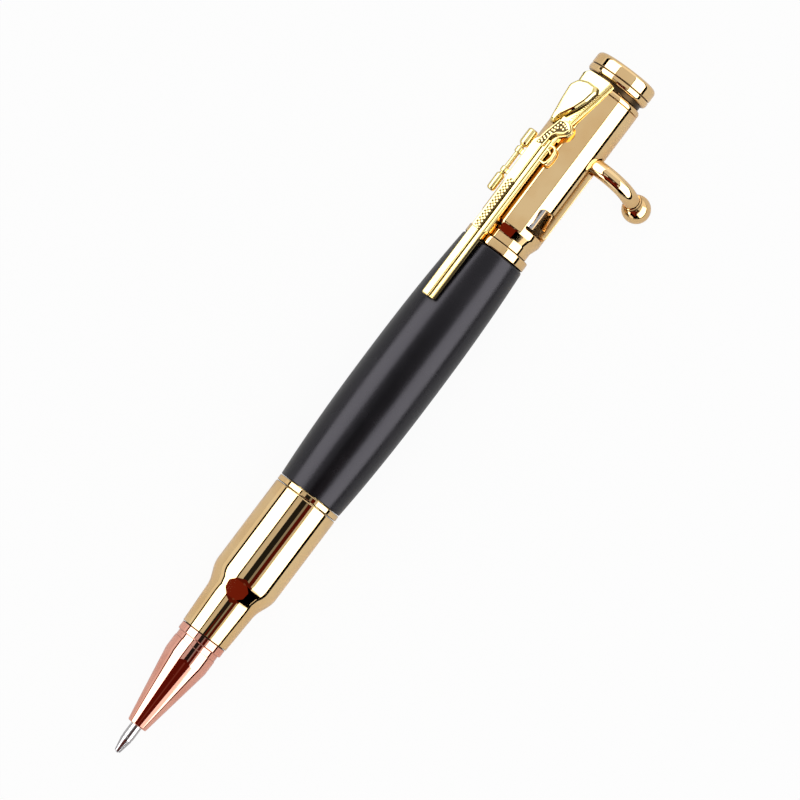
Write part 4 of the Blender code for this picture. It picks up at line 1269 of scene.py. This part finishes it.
@dataclass
class Refill(SubAssembly):
    """The refill with its steel tip, and the spring round it."""

    radius: float = 2.95
    inner: float = 2.5
    front: float = -124.59
    back: float = -48.05
    crimp_back: float = 3.4
    crimp_width: float = 0.4
    crimp_depth: float = 0.14
    hole: float = 1.13
    insert: float = 1.6
    tip_radius: float = 1.03
    tip_cone: float = 2.4
    tip_groove: float = 0.06
    lip: float = -142.02
    lip_radius: float = 0.52
    socket: float = 0.41
    ball_station: float = -141.89
    ball_radius: float = 0.35
    spring_wire: float = 0.2
    spring_radius: float = 1.7
    spring_turns: int = 6
    spring_steps: int = 28
    spring_seat: float = -130.99
    fit: float = 0.2

    def tube(self) -> Shape:
        """Turn the refill's tube, with its crimped shoulder."""
        crimp = self.front + self.crimp_back
        bottom = self.front + self.insert
        return turned([
            (self.back, self.inner, 0.0), (self.back, self.radius, 0.1), (crimp, self.radius, 0.1),
            (crimp - self.crimp_width / 2, self.radius - self.crimp_depth, 0.1),
            (crimp - self.crimp_width, self.radius, 0.1), (self.front, self.radius, 0.6),
            (self.front, self.hole, 0.1), (bottom, self.hole, 0.0), (bottom, self.inner, 0.0),
        ], arc=4, sides=64)

    def tip(self) -> Shape:
        """Turn the thin steel tube, its cone and its socket."""
        cone = self.lip + self.tip_cone
        bottom = self.ball_station + self.socket
        sunk = self.tip_radius - self.tip_groove
        return turned([
            (self.front + self.insert, 0.0, 0.0), (self.front + self.insert, self.tip_radius, 0.1),
            (cone + 0.5, self.tip_radius, 0.05), (cone + 0.42, sunk, 0.02), (cone + 0.25, sunk, 0.02),
            (cone, self.tip_radius - 0.04, 0.5), (self.lip, self.lip_radius, 0.03),
            (self.lip, self.socket, 0.0), (bottom, self.socket, 0.0), (bottom, 0.0, 0.0),
        ], arc=4, sides=48, ring=False)

    def ball(self) -> Shape:
        """Make the writing ball."""
        shape = Shape()
        place = Matrix.Translation((self.ball_station, 0.0, 0.0)) @ Matrix.Rotation(math.pi / 2, 4, "Y")
        size = {"u_segments": 32, "v_segments": 20, "radius": self.ball_radius}
        bmesh.ops.create_uvsphere(shape.mesh, matrix=place, **size)
        return shape.clean()

    def spring(self) -> Shape:
        """Wind the spring."""
        low = self.spring_seat + self.fit + self.spring_wire
        high = self.front - self.fit - self.spring_wire
        count = self.spring_turns * self.spring_steps
        shares = [step / count for step in range(count + 1)]
        sweep, radius = 2 * math.pi * self.spring_turns, self.spring_radius
        points = [about_pen(sweep * share, radius, low + (high - low) * share) for share in shares]
        return Shape().sweep(points, [self.spring_wire] * len(points), sides=10)

    def build(self) -> list[bpy.types.Object]:
        """Make the refill's pieces, dress its end cap, and return the new pieces."""
        dress("refill_end_cap", MOULDED_GREY)
        return [
            self.spring().finish("coil_spring", Body.REFILL, BRIGHT_STEEL, "refill_spring"),
            self.tube().finish("ink_tube", Body.REFILL, DRAWN_METAL, "refill_tube"),
            self.tip().finish("nib", Body.REFILL, BRIGHT_STEEL, "nib_tube"),
            self.ball().finish("nib_ball", Body.REFILL, BRIGHT_STEEL, "writing_ball"),
        ]


@dataclass
class Finial(SubAssembly):
    """The cap end, and the ring of the clip in front of it."""

    radius: float = 5.85
    band_front: float = -2.25
    groove_front: float = -2.45
    groove_radius: float = 5.6
    collar_front: float = -3.65
    front: float = -4.4
    neck_radius: float = 5.15
    stud_radius: float = 2.5
    stud_front: float = -8.6
    ring_back: float = -4.52
    ring_front: float = -5.52
    ring_radius: float = 5.8
    ring_bore: float = 2.7

    def in_neck(self, place: Vector) -> float:
        """Return the painted shade in the neck and in the fine groove.

        Args:
            place: The point.

        Returns:
            The recess, from 0 to 1.
        """
        radius = math.hypot(place.y, place.z)
        if place.x > self.band_front + 0.1:
            return 0.0
        if self.stud_radius + 0.3 < radius < self.neck_radius + 0.02:
            return 1.0
        return 0.6 if self.neck_radius < radius < self.groove_radius + 0.02 else 0.0

    def build(self) -> list[bpy.types.Object]:
        """Turn finial and ring, and return them."""
        cap = turned([
            (0.0, 0.0, 0.0), (0.0, self.radius, 0.85), (self.band_front, self.radius, 0.07),
            (self.band_front, self.groove_radius, 0.0), (self.groove_front, self.groove_radius, 0.0),
            (self.groove_front, self.radius, 0.12), (self.collar_front, self.radius, 0.66),
            (self.collar_front, self.neck_radius, 0.0), (self.front, self.neck_radius, 0.0),
            (self.front, self.stud_radius, 0.0), (self.stud_front, self.stud_radius, 0.25),
            (self.stud_front, 0.0, 0.0),
        ], arc=8, ring=False)
        ring = turned([
            (self.ring_back, self.ring_bore, 0.0), (self.ring_back, self.ring_radius, 0.7),
            (self.ring_front, self.ring_radius, 0.06), (self.ring_front, self.ring_bore, 0.0),
        ], arc=8)
        return [
            cap.finish("cap_finial", Body.CAP, POLISHED_GOLD, "finial", recess_at=self.in_neck),
            ring.finish("clip_foot_ring", Body.PEN, POLISHED_GOLD, "clip_ring"),
        ]


@dataclass
class RifleClip(SubAssembly):
    """The cast clip: a rifle in relief on a tail that sits on the receiver."""

    height: float = 7.0
    plate_rise: float = 0.65
    body_rise: float = 1.25
    ground_rise: float = 0.025
    border_radius: float = 0.12
    underside: float = 5.97
    muzzle: float = -50.62
    bar_back: float = -36.3
    stock_back: float = -17.7
    panel_back: float = -26.5
    panel_cells: int = 14
    cell_pitch: float = 0.7
    cell_radius: float = 0.28
    cell_height: float = 0.12
    cell_taper: float = 0.84
    small_cell: float = 0.86
    scope_back: float = -17.72
    scope_place: Point = (2.74, 7.74)
    mount_levels: Point = (7.45, 7.95)
    mount_taper: float = 0.8
    mount_rim: float = 0.08
    guard_level: float = 7.36
    guard_radius: float = 0.27
    trigger_level: float = 7.4
    trigger_radius: float = 0.26
    trigger_taper: float = 0.12
    tail_back: float = -4.07
    tail_top: float = 6.86
    tail_curve: float = 26.0
    tail_slice: float = 0.25
    wrist_top: float = 7.3
    butt_top: float = 8.08
    butt_centre: Point = (-8.9, 0.2)
    butt_steps: int = 12
    hatch_lines: int = 16
    hatch_width: float = 0.42
    hatch_lean: float = 0.6
    hatch_radius: float = 0.07

    def stock(self) -> Shape:
        """Raise the rifle's plate, without its trigger guard."""
        front = self.muzzle + 0.1
        return plate([
            (front, -1.3, 0.3), (front, 1.1, 0.3), (-36.79, 1.2, 0.0), (-27.8, 1.25, 0.6),
            (-27.0, 1.6, 0.6), (-18.9, 1.6, 0.8), (-17.98, 0.9, 0.8), (-14.43, -0.48, 1.2),
            (-13.4, -1.35, 0.6), (-13.5, -2.6, 0.8), (-14.6, -3.72, 0.5), (-15.65, -3.2, 0.5),
            (-16.6, -1.95, 1.0), (-17.8, -1.7, 0.8), (-36.2, -1.66, 0.5), (-36.9, -1.34, 0.5),
        ], self.height, self.height + self.plate_rise, 0.14, arc=4)

    def action(self) -> Shape:
        """Raise the rifle's body, from forend to grip."""
        return plate([
            (-36.7, -0.56, 0.4), (-36.7, 1.18, 0.4), (-27.8, 1.2, 0.8), (-27.0, 1.52, 0.8),
            (-18.95, 1.52, 0.9), (-18.05, 0.82, 0.9), (-14.5, -0.55, 1.2), (-13.52, -1.38, 0.65),
            (-13.62, -2.5, 0.9), (-14.55, -3.62, 0.58), (-15.5, -3.02, 0.58), (-16.45, -1.5, 0.9),
            (-17.8, -0.66, 0.9), (-19.6, -0.56, 0.5),
        ], self.height + 0.1, self.height + self.body_rise, 0.2, arc=4)

    def bars(self) -> Shape:
        """Raise the gun's barrel and the magazine tube under it, as flat-topped bars."""
        bars = Shape()
        for front, back, low, high, top, rim in (
            (self.muzzle, self.bar_back, -0.38, 1.24, 8.06, 0.3),
            (self.muzzle + 0.3, self.stock_back, -1.36, -0.64, 7.94, 0.16),
        ):
            turn = rim + 0.04
            corners = [(front, low, turn), (front, high, turn), (back, high, 0.0), (back, low, 0.0)]
            bars.add(plate(corners, self.height + 0.2, top, rim))
        return bars

    def scope(self) -> Shape:
        """Turn the telescopic sight, and set its two mounts under its rings."""
        back = self.scope_back
        tube, front_ring, back_ring = 0.42, 0.68, 0.7
        sight = turned([
            (back, 0.0, 0.0), (back, 0.9, 0.42), (back - 2.9, 0.92, 0.6), (back - 3.35, tube, 0.1),
            (back - 3.6, tube, 0.0), (back - 3.6, back_ring, 0.2),
            (back - 4.75, back_ring, 0.2), (back - 4.75, tube, 0.0),
            (back - 7.75, tube, 0.0), (back - 7.75, front_ring, 0.2),
            (back - 8.75, front_ring, 0.2), (back - 8.75, tube, 0.0),
            (back - 8.95, tube, 0.05), (back - 9.35, 0.78, 0.4),
            (back - 12.4, 0.74, 0.45), (back - 12.4, 0.0, 0.0),
        ], arc=5, sides=36, ring=False)
        sight.move(Matrix.Translation((0.0, *self.scope_place)))
        low, high = 0.65, 2.7
        for middle, foot in ((back - 4.18, 0.5), (back - 8.25, 0.42)):
            head = foot * self.mount_taper
            near, far = (middle - foot, middle + foot), (middle + head, middle - head)
            outline = [Vector((x, low)) for x in near] + [Vector((x, high)) for x in far]
            sight.add(Shape().slab(outline, *self.mount_levels, self.mount_rim))
        return sight

    def guard(self) -> Shape:
        """Bend the trigger guard, and set the trigger in it."""
        bow = flat_rod([
            (-18.35, -1.2, 0.0), (-18.3, -3.0, 0.9), (-20.2, -3.2, 1.0), (-21.4, -2.85, 0.7),
            (-21.45, -1.2, 0.0),
        ], self.guard_level, self.guard_radius, 16)
        trigger = [(-19.1, -1.3, 0.0), (-19.25, -2.1, 0.5), (-19.55, -2.55, 0.0)]
        return bow.add(flat_rod(trigger, self.trigger_level, self.trigger_radius, 12, self.trigger_taper))

    def cell_places(self) -> Iterable[tuple[float, float, float]]:
        """Yield the place and size (x, y, radius) of each cell of forend, wrist and grip."""
        for offset, shift in ((0.43, 0.0), (0.065, 0.5), (-0.3, 0.0)):
            for number in range(self.panel_cells - round(shift)):
                yield self.panel_back - (number + shift + 0.5) * self.cell_pitch, offset, self.cell_radius
        for start, end, count in (
            ((-18.9, 0.27), (-14.35, -1.12), 9), ((-18.55, -0.22), (-15.35, -1.22), 6),
            ((-14.3, -1.75), (-14.55, -2.75), 3), ((-14.95, -1.75), (-15.05, -2.3), 2),
        ):
            for number in range(count):
                share = number / (count - 1)
                x, y = (here + (there - here) * share for here, there in zip(start, end))
                yield x, y, self.cell_radius * self.small_cell

    def cells(self) -> Shape:
        """Set the low pointed cells of the chequered forend, wrist and grip."""
        cells = Shape()
        level = self.height + self.body_rise + self.cell_height / 2
        for x, y, radius in self.cell_places():
            size = {"radius1": radius, "radius2": radius * self.cell_taper, "depth": self.cell_height}
            place = Matrix.Translation((x, y, level))
            bmesh.ops.create_cone(cells.mesh, cap_ends=True, segments=4, matrix=place, **size)
        return cells.clean()

    def panels(self) -> Shape:
        """Lay the sunk grounds of the chequering, between their raised borders."""
        back = self.panel_back
        front = back - self.panel_cells * self.cell_pitch
        forend = [
            (back, 0.06, 0.1), (back - 0.35, -0.6, 0.2), (front, -0.6, 0.2),
            (front - 0.2, 0.06, 0.2), (front, 0.73, 0.2), (back - 0.35, 0.73, 0.2),
        ]
        wrist = [
            (-19.3, 0.68, 0.15), (-17.0, 0.2, 0.5), (-14.0, -0.75, 0.3), (-13.9, -1.7, 0.4),
            (-14.55, -3.15, 0.2), (-15.35, -2.7, 0.2), (-15.9, -1.6, 0.5), (-16.9, -0.72, 0.5),
            (-19.0, -0.56, 0.2),
        ]
        level = self.height + self.body_rise
        low, high = level - 0.1, level + self.ground_rise
        return Shape().add(*(plate(item, low, high, 0.02, arc=3) for item in (forend, wrist)))

    def borders(self) -> Shape:
        """Raise the fine ridges that frame the chequering of wrist and grip."""
        upper = [(-19.45, 0.82, 0.0), (-17.0, 0.34, 0.8), (-13.95, -0.62, 0.0)]
        lower = [
            (-19.2, -0.72, 0.0), (-16.9, -0.88, 0.6), (-16.05, -1.7, 0.6), (-15.45, -2.85, 0.2),
            (-14.55, -3.3, 0.0),
        ]
        level = self.height + self.body_rise
        return Shape().add(*(flat_rod(item, level, self.border_radius, 10) for item in (upper, lower)))

    def butt(self) -> Shape:
        """Raise the smooth, domed butt."""
        outline = filleted([
            (-5.83, 0.0, 3.0), (-5.95, -2.1, 0.5), (-7.0, -2.62, 0.8), (-8.9, -2.2, 2.0), (-11.2, -1.15, 3.0),
            (-13.7, 0.45, 1.5), (-15.0, 0.95, 0.3), (-15.0, 1.78, 0.3), (-11.2, 2.42, 4.0), (-7.9, 2.8, 1.1),
            (-6.3, 1.75, 1.6),
        ], closed=True, steps=12)
        foot = self.tail_top + 0.1
        rise = self.butt_top - self.tail_top - 0.1
        shoulder, wall_share = 0.76, 0.95
        levels = [(1.0, self.tail_top - 1.3), (1.0, foot)]
        for step in range(1, self.butt_steps + 1):
            angle = math.pi / 2 * step / self.butt_steps
            inwards = (1.0 - shoulder) * (1 - math.cos(angle))
            levels.append((1.0 - inwards, foot + wall_share * rise * math.sin(angle)))
        for share in (0.6, 0.4, 0.2, 0.001):
            levels.append((share, self.butt_top - (1 - wall_share) * rise * (share / shoulder) ** 2))
        return Shape().dome(outline, self.butt_centre, levels)

    def tail_height(self, y: float) -> float:
        """Return the height of the tail's top at a distance from its middle line."""
        return self.tail_top - y**2 / (2 * self.tail_curve)

    def tail(self) -> Shape:
        """Raise the flared tail, and fit its underside to the receiver."""
        back = self.tail_back
        shape = plate([
            (back, -3.25, 0.3), (back, 1.55, 0.25), (-4.9, 2.6, 0.25), (-14.6, 1.7, 0.3), (-14.6, -1.3, 0.3)
        ], 0.0, 1.0, 0.12, arc=4)
        shape.slice(1, [self.tail_slice * step for step in range(-13, 11)])
        for vert in shape.mesh.verts:
            _, y, z = vert.co
            low = math.sqrt(self.underside**2 - y**2)
            vert.co.z = low if z < 0.5 else self.tail_height(y) - (1.0 - z)
        return shape.clean()

    def tail_strip(self) -> Shape:
        """Lay the raised strip along the tail's lower edge."""
        route = [Vector((-13.9, -1.52, 6.25)), Vector((-12.0, -1.86, 6.1)), Vector((-4.3, -3.28, 5.45))]
        return Shape().sweep(route, [0.22, 0.24, 0.26], sides=14)

    def wrist(self) -> Shape:
        """Raise the block that joins the grip to the tail."""
        corners = [(-13.0, -1.5, 0.2), (-13.0, 0.0, 0.2), (-17.3, 0.0, 0.2), (-17.3, -1.5, 0.2)]
        return plate(corners, self.underside, self.wrist_top, 0.05, arc=3)

    def hatch(self) -> Shape:
        """Raise the fine slanted hatch between the butt and the tail's edge."""
        marks = Shape()
        first, last = Vector((-12.4, -1.55)), Vector((-6.8, -2.98))
        for number in range(self.hatch_lines):
            foot = first.lerp(last, number / (self.hatch_lines - 1))
            route = []
            for across in (0.0, self.hatch_width):
                y = foot.y + across
                route.append(Vector((foot.x - across * self.hatch_lean, y, self.tail_height(y))))
            marks.add(Shape().sweep(route, [self.hatch_radius] * 2, sides=6))
        return marks.clean()

    def build(self) -> list[bpy.types.Object]:
        """Make the clip's pieces, and return them."""
        plate_top = self.height + self.plate_rise
        body_top = self.height + self.body_rise
        plain = below(0.0, 1.0)
        made = [self.stock().finish("clip_plate", Body.CLIP, CAST_GOLD, "rifle_clip")]
        # Each piece's recess is painted shade: darker below a height, and the sunk grounds of the chequering
        # dark all over.
        for name, shape, recess_at in (
            ("clip_action", self.action(), below(body_top - 0.08, 0.16)),
            ("clip_bars", self.bars(), below(plate_top + 0.3, 0.2)),
            ("clip_scope", self.scope(), plain),
            ("clip_guard", self.guard(), plain),
            ("clip_grounds", self.panels(), lambda place: 1.0),
            ("clip_cells", self.cells(), below(body_top + 0.1, 0.08)),
            ("clip_borders", self.borders(), plain),
            ("clip_wrist", self.wrist(), plain),
            ("clip_butt", self.butt(), below(self.tail_top + 0.55, 0.3)),
            ("clip_tail", self.tail(), below(6.45, 0.3)),
            ("clip_tail_strip", self.tail_strip(), plain),
            ("clip_hatch", self.hatch(), plain),
        ):
            made.append(shape.finish(name, Body.CLIP, CAST_GOLD, recess_at=recess_at))
        return made


@dataclass
class Card:
    """A card that only reflections see, bent round the pen's line, as a photographer's card is.

    Its angles go from straight up towards -Y, at its front end and at its back end.
    """

    name: str
    front: float
    back: float
    front_angles: Point
    back_angles: Point
    colour: Colour
    strength: float
    distance: float = 0.45
    steps: int = 16

    def build(self) -> None:
        """Make the card."""
        shape = bmesh.new()
        bmesh.ops.create_grid(shape, x_segments=4, y_segments=self.steps, size=0.5)
        for vert in shape.verts:
            along, across = vert.co.x + 0.5, vert.co.y + 0.5
            start, end = (a + (b - a) * along for a, b in zip(self.front_angles, self.back_angles))
            turn = math.radians(start + (end - start) * across)
            vert.co = about_pen(turn, self.distance, self.front + (self.back - self.front) * along)
        stage_card(self.name, shape, self.colour, self.strength)


def stage_card(name: str, shape: bmesh.types.BMesh, colour: Colour, strength: float) -> None:
    """Make a glowing card of a mesh, seen by reflections alone.

    Args:
        name: The card's name.
        shape: Its mesh, which is used up.
        colour: Its colour.
        strength: Its brightness.
    """
    material = bpy.data.materials.new(name)
    wires = Wiring.of(material)
    glow = wires.node("ShaderNodeEmission", {"Color": (*colour, 1.0), "Strength": strength})
    wires.node("ShaderNodeOutputMaterial", {"Surface": glow.outputs[0]})
    made = new_object(name, shape, material)
    for ray in ("camera", "diffuse", "shadow", "transmission", "volume_scatter"):
        setattr(made, f"visible_{ray}", False)


@dataclass
class Stage:
    """The table, the light and the camera."""

    floor_half: float = 1.6
    floor_tone: float = 0.8
    camera_share: float = 0.94
    ambient: float = 0.74
    window: float = 3.6
    strip_centre: Point = (-0.05, -0.23)
    strip_size: Point = (0.8, 0.34)
    strip_lift: float = 0.00005
    lamp_power: float = 0.8
    lamp_size: float = 0.5
    lamp_place: Corner = (-0.07, -0.35, 0.6)
    lamp_aim: Corner = (-0.07, 0.0, 0.0)
    lens: float = 277.0
    sensor: float = 36.0
    nearest: float = 0.1
    axis_lean: float = math.radians(8.17)
    camera_station: float = -0.1004
    camera_distance: float = 1.027
    aim_station: float = -0.06695
    aim_offset: float = 0.00248
    camera_roll: float = math.radians(53.05)

    def floor(self) -> None:
        """Lay the pale table, white to the camera and with the pen's soft shadow."""
        shape = bmesh.new()
        bmesh.ops.create_grid(shape, x_segments=2, y_segments=2, size=self.floor_half)
        bmesh.ops.translate(shape, vec=(0.0, 0.0, cad_box[0].z), verts=shape.verts)
        material = bpy.data.materials.new("table_white")
        wires = Wiring.of(material)
        plain = wires.node("ShaderNodeBsdfDiffuse", {"Color": (self.floor_tone,) * 3 + (1.0,)})
        glow = wires.node("ShaderNodeEmission", {"Color": (1.0, 1.0, 1.0, 1.0), "Strength": 1.0})
        path = wires.node("ShaderNodeLightPath")
        share = wires.ramp(path.outputs["Is Camera Ray"], 0.0, 1.0, 0.0, self.camera_share)
        mixed = wires.node("ShaderNodeMixShader", {0: share, 1: plain.outputs[0], 2: glow.outputs[0]})
        wires.node("ShaderNodeOutputMaterial", {"Surface": mixed.outputs[0]})
        new_object("table", shape, material)

    def world(self) -> None:
        """Set an even white surround, at full white where it is seen or mirrored."""
        made = bpy.data.worlds.new("surround")
        bpy.context.scene.world = made
        wires = Wiring.of(made)
        path = wires.node("ShaderNodeLightPath").outputs
        seen = wires.calculate("MAXIMUM", path["Is Camera Ray"], path["Is Glossy Ray"])
        seen = wires.calculate("MAXIMUM", seen, path["Is Transmission Ray"])
        strength = wires.ramp(seen, 0.0, 1.0, self.ambient, 1.0)
        glow = wires.node("ShaderNodeBackground", {"Color": (1.0, 1.0, 1.0, 1.0), "Strength": strength})
        wires.node("ShaderNodeOutputWorld", {"Surface": glow.outputs[0]})

    def cards(self) -> None:
        """Hang the white windows, the ceiling between them, and the dark rims."""
        white, black, red, rose = (1.0, 1.0, 1.0), (0.0, 0.0, 0.0), (1.0, 0.1, 0.05), (1.0, 0.3, 0.22)
        far, nose, body, tube, end = -1.2, -0.27, -0.08, -0.012, 0.4
        for name, front, back, angles, colour, strength in (
            ("window_near", -0.274, end, (43.5, 88.5), white, self.window),
            ("window_near_front", -0.33, -0.274, (43.5, 88.5), white, 1.25),
            ("window_near_far", far, -0.33, (40.0, 88.5), black, 0.01),
            ("window_far", far, tube, (-23.0, -67.5), white, self.window),
            ("window_far_back", tube, end, (-23.0, -70.5), white, self.window),
            ("rim_far", far, tube, (-67.5, -75.5), black, 0.0),
            ("rim_far_back", tube, end, (-70.5, -83.5), black, 0.0),
            ("apron_far", far, tube, (-75.5, -90.8), white, 0.8),
            ("apron_far_back", tube, end, (-83.5, -90.8), white, 0.8),
            ("ceiling", tube, end, (-20.5, 40.5), white, 0.7),
            ("ceiling_line_far", tube, end, (-23.0, -20.5), white, 0.3),
            ("ceiling_line_near", tube, end, (40.5, 43.5), white, 0.42),
            ("ceiling_middle", body, tube, (-23.0, 43.5), white, 0.05),
            ("stripe_0", nose, body, (-23.0, -17.5), white, 0.05),
            ("stripe_1", nose, body, (-17.5, -1.5), white, 0.6),
            ("stripe_2", nose, body, (-1.5, 16.0), white, 0.015),
            ("stripe_3", nose, body, (16.0, 22.5), white, 0.26),
            ("stripe_4", nose, body, (22.5, 35.0), red, 0.08),
            ("stripe_5", nose, body, (35.0, 43.5), white, 0.6),
            ("far_middle", far, -0.32, (-23.0, 43.5), black, 0.01),
            ("rim_near_wall", -0.4, 0.3, (88.5, 92.6), black, 0.0),
        ):
            Card(name, front, back, angles, angles, colour, strength).build()
        for name, front, back, front_angles, back_angles, colour, strength, distance in (
            ("wedge", nose, -0.158, (-23.0, 43.5), (8.0, 12.0), red, 0.09, 0.44),
            ("front_red", -0.325, nose, (-26.0, 43.5), (-23.0, 43.5), red, 0.1, 0.45),
            ("front_streak", -0.33, nose, (10.0, 20.0), (8.0, 16.0), rose, 0.16, 0.43),
            ("far_red", -0.58, -0.305, (-64.0, 58.0), (-24.0, 24.0), red, 0.16, 0.44),
            ("near_wedge", -0.335, -0.285, (43.5, 88.5), (88.0, 88.5), black, 0.01, 0.44),
        ):
            Card(name, front, back, front_angles, back_angles, colour, strength, distance).build()

    def floor_strip(self) -> None:
        """Lay the dark strip on the table that gives the thin dark line on the near side."""
        shape = bmesh.new()
        bmesh.ops.create_grid(shape, x_segments=1, y_segments=1, size=0.5)
        level = cad_box[0].z + self.strip_lift
        sides = list(zip(self.strip_centre, self.strip_size))
        for vert in shape.verts:
            x, y = (middle + at * size for at, (middle, size) in zip(vert.co, sides))
            vert.co = (x, y, level)
        stage_card("rim_near_floor", shape, (0.0, 0.0, 0.0), 0.0)

    def lamp(self) -> None:
        """Hang one large soft lamp that gives diffuse surfaces a little direction."""
        light = bpy.data.lights.new("soft_lamp", "AREA")
        light.shape = "SQUARE"
        light.size = self.lamp_size
        light.energy = self.lamp_power
        made = bpy.data.objects.new("soft_lamp", light)
        bpy.context.scene.collection.objects.link(made)
        made.location = self.lamp_place
        made.rotation_euler = (Vector(self.lamp_aim) - made.location).to_track_quat("-Z", "Y").to_euler()
        made.visible_glossy = False

    def camera(self) -> None:
        """Stand the camera where the photograph was taken from."""
        towards = Vector((0.0, -math.sin(self.axis_lean), math.cos(self.axis_lean)))
        side = Vector((0.0, -math.cos(self.axis_lean), -math.sin(self.axis_lean)))
        along = Vector((1.0, 0.0, 0.0))
        place = along * self.camera_station + towards * self.camera_distance
        aim = along * self.aim_station + side * self.aim_offset
        back = (place - aim).normalized()
        up = along * math.sin(self.camera_roll) - side * math.cos(self.camera_roll)
        right = up.cross(back).normalized()
        data = bpy.data.cameras.new("camera")
        data.lens = self.lens
        data.sensor_width = self.sensor
        data.clip_start = self.nearest
        made = bpy.data.objects.new("camera", data)
        facing = Matrix((right, back.cross(right), back)).transposed().to_4x4()
        made.matrix_world = Matrix.Translation(place) @ facing
        bpy.context.scene.collection.objects.link(made)
        bpy.context.scene.camera = made

    def build(self) -> None:
        """Set up table, surround, cards, lamp and camera."""
        bpy.context.scene.view_settings.view_transform = "Standard"
        for step in (self.floor, self.world, self.cards, self.floor_strip, self.lamp, self.camera):
            step()


def main() -> None:
    """Build the pen's sub-assemblies in order, then the stage."""
    logging.basicConfig(level=logging.INFO, format="%(name)s: %(message)s")
    for part in (Nose(), Refill(), Cartridge(), Barrel(), Receiver(), Bolt(), Finial(), RifleClip()):
        made = part.build()
        log.info("%s: %d pieces", type(part).__name__, len(made))
    Stage().build()


if __name__ == "__main__":
    main()
